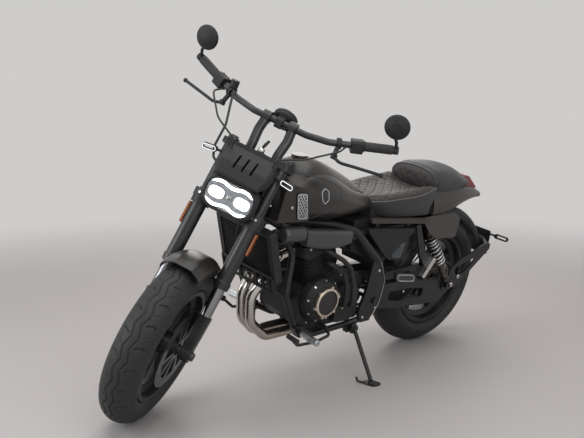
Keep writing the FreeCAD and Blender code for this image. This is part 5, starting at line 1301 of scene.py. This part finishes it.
# Key lock between the risers, with its folded key
lockLook = {"behind": 20.0, "low": 750.0, "high": 776.0, "radius": 13.0, "bore": 7.0, "edge": 2.0}
lockFoot, lockTop = (alongFork(0, lockLook["behind"], lockLook[key]) for key in ("low", "high"))
long, size = lockLook["high"] - lockLook["low"], lockLook["radius"]
bore, edge = lockLook["bore"], lockLook["edge"]
lock = turnedSheet([(0, 0.05), (0, size), (long - edge, size), (long, size - edge), (long, bore),
                    (long - edge, bore), (long - edge, 0.05)], lockFoot, tuple(steerAxis), 40)
makePiece("keyLock", [lock], "steering", "brightBolt")
keyLine = np.stack([lockTop, lockTop + np.array(steerAxis) * 14 + (3, 4, 0),
                    lockTop + np.array(steerAxis) * 30 + (8, 12, 0)])
makePiece("key", [tube(keyLine, [4.0, 6.5, 5.0], 10)], "steering", "blackPlastic")

# Dark rounded end of the tail: ellipses that close over the tip, narrowed and pinched on the way
endLook = {"from": 978.0, "to": 1012.0, "width": 63.0, "height": 16.0, "z": 712.5, "power": 2.6,
           "narrow": 0.25, "pinch": 0.35}
t = np.linspace(0, 1, 16)[:, None]
turn = fullTurn(64)[None]
close = np.sqrt(np.clip(1 - t ** endLook["power"], 0, 1))
narrow = 1 - endLook["narrow"] + endLook["narrow"] * close
x = endLook["width"] * narrow * np.cos(turn) * close ** endLook["pinch"]
y = endLook["from"] + (endLook["to"] - endLook["from"]) * t
z = endLook["z"] + endLook["height"] * np.sin(turn) * close
points = np.stack(np.broadcast_arrays(x, y, z), -1)
points = np.concatenate([np.repeat(points[:1].mean(1, keepdims=True), points.shape[1], 1), points])
makePiece("tailEnd", [(points, gridFaces(len(points), points.shape[1], False, True))], "frame",
          "blackPlastic")

print("details seated")

# Camera, light and floor
view = {"place": (2.42676, -2.46134, 1.17360), "yaw": 47.525, "pitch": 8.424, "lens": 53.69}
camera = bpy.data.objects.new("camera", bpy.data.cameras.new("camera"))
camera.data.lens = view["lens"]
camera.data.sensor_width = 36
camera.location = view["place"]
camera.rotation_euler = (math.radians(90 - view["pitch"]), 0, math.radians(view["yaw"]))
bpy.context.collection.objects.link(camera)
bpy.context.scene.camera = camera

lamps = [  # name, place, size, power, colour
    ("topSoft", (0.3, -0.4, 3.6), (3.4, 4.4), 66, (1.0, 0.99, 0.97)),
    ("windowLeft", (-1.2, -3.6, 1.9), (2.6, 2.2), 52, (0.90, 0.95, 1.0)),
    ("windowFront", (3.8, -1.2, 2.1), (2.2, 2.4), 44, (0.92, 0.96, 1.0)),
    ("backSoft", (-2.6, 2.4, 2.4), (2.4, 2.0), 30, (1.0, 0.97, 0.93)),
]
for name, place, size, power, colour in lamps:
    lamp = bpy.data.objects.new(name, bpy.data.lights.new(name, "AREA"))
    lamp.data.shape = "RECTANGLE"
    lamp.data.size, lamp.data.size_y = size
    lamp.data.energy = power
    lamp.data.color = colour
    lamp.location = place
    aim = Vector((0, 0, 0.5)) - Vector(place)
    lamp.rotation_euler = aim.to_track_quat("-Z", "Y").to_euler()
    bpy.context.collection.objects.link(lamp)

world = bpy.data.worlds.new("room")
bpy.context.scene.world = world
world.use_nodes = True
room = {"shown": (0.62, 0.61, 0.60), "lit": (0.20, 0.20, 0.21)}
tree = world.node_tree
tree.nodes.clear()
path = tree.nodes.new("ShaderNodeLightPath")
clear = path.outputs["Is Camera Ray"]
for ray in ("Is Transmission Ray", "Is Glossy Ray"):
    both = tree.nodes.new("ShaderNodeMath")
    both.operation = "ADD"
    both.use_clamp = True
    tree.links.new(clear, both.inputs[0])
    tree.links.new(path.outputs[ray], both.inputs[1])
    clear = both.outputs[0]
mixed = tree.nodes.new("ShaderNodeMix")
mixed.data_type = "RGBA"
mixed.inputs[6].default_value = (*room["lit"], 1)
mixed.inputs[7].default_value = (*room["shown"], 1)
tree.links.new(clear, mixed.inputs[0])
sky = tree.nodes.new("ShaderNodeBackground")
tree.links.new(mixed.outputs[2], sky.inputs[0])
out = tree.nodes.new("ShaderNodeOutputWorld")
tree.links.new(sky.outputs[0], out.inputs[0])

floorLook = {"half": 9, "base": (0.60, 0.56, 0.54), "rough": 0.5, "haze": (2.0, 5.0)}
half = floorLook["half"]
floorMesh = bpy.data.meshes.new("floor")
floorMesh.from_pydata([(-half, -half, 0), (half, -half, 0), (half, half, 0), (-half, half, 0)], [],
                      [(0, 1, 2, 3)])
floor = bpy.data.objects.new("floor", floorMesh)
bpy.context.collection.objects.link(floor)
floorFinish = Finish("floorPale", base=floorLook["base"], rough=floorLook["rough"])
far = floorFinish.node("ShaderNodeVectorMath", {"operation": "LENGTH"}, {0: floorFinish.places()},
                       "Value")
haze = floorFinish.node("ShaderNodeEmission", {}, {"Color": room["shown"]})
faded = floorFinish.node("ShaderNodeMixShader", {},
                         {"Fac": floorFinish.ramp(far, *floorLook["haze"])})
floorFinish.tree.links.new(floorFinish.shader.outputs[0], faded.socket.node.inputs[1])
floorFinish.tree.links.new(haze.socket, faded.socket.node.inputs[2])
floorFinish.tree.links.new(faded.socket, floorFinish.output.inputs[0])
floorMesh.materials.append(floorFinish.material)
bpy.context.scene.view_settings.view_transform = "Standard"
print("camera and light set")
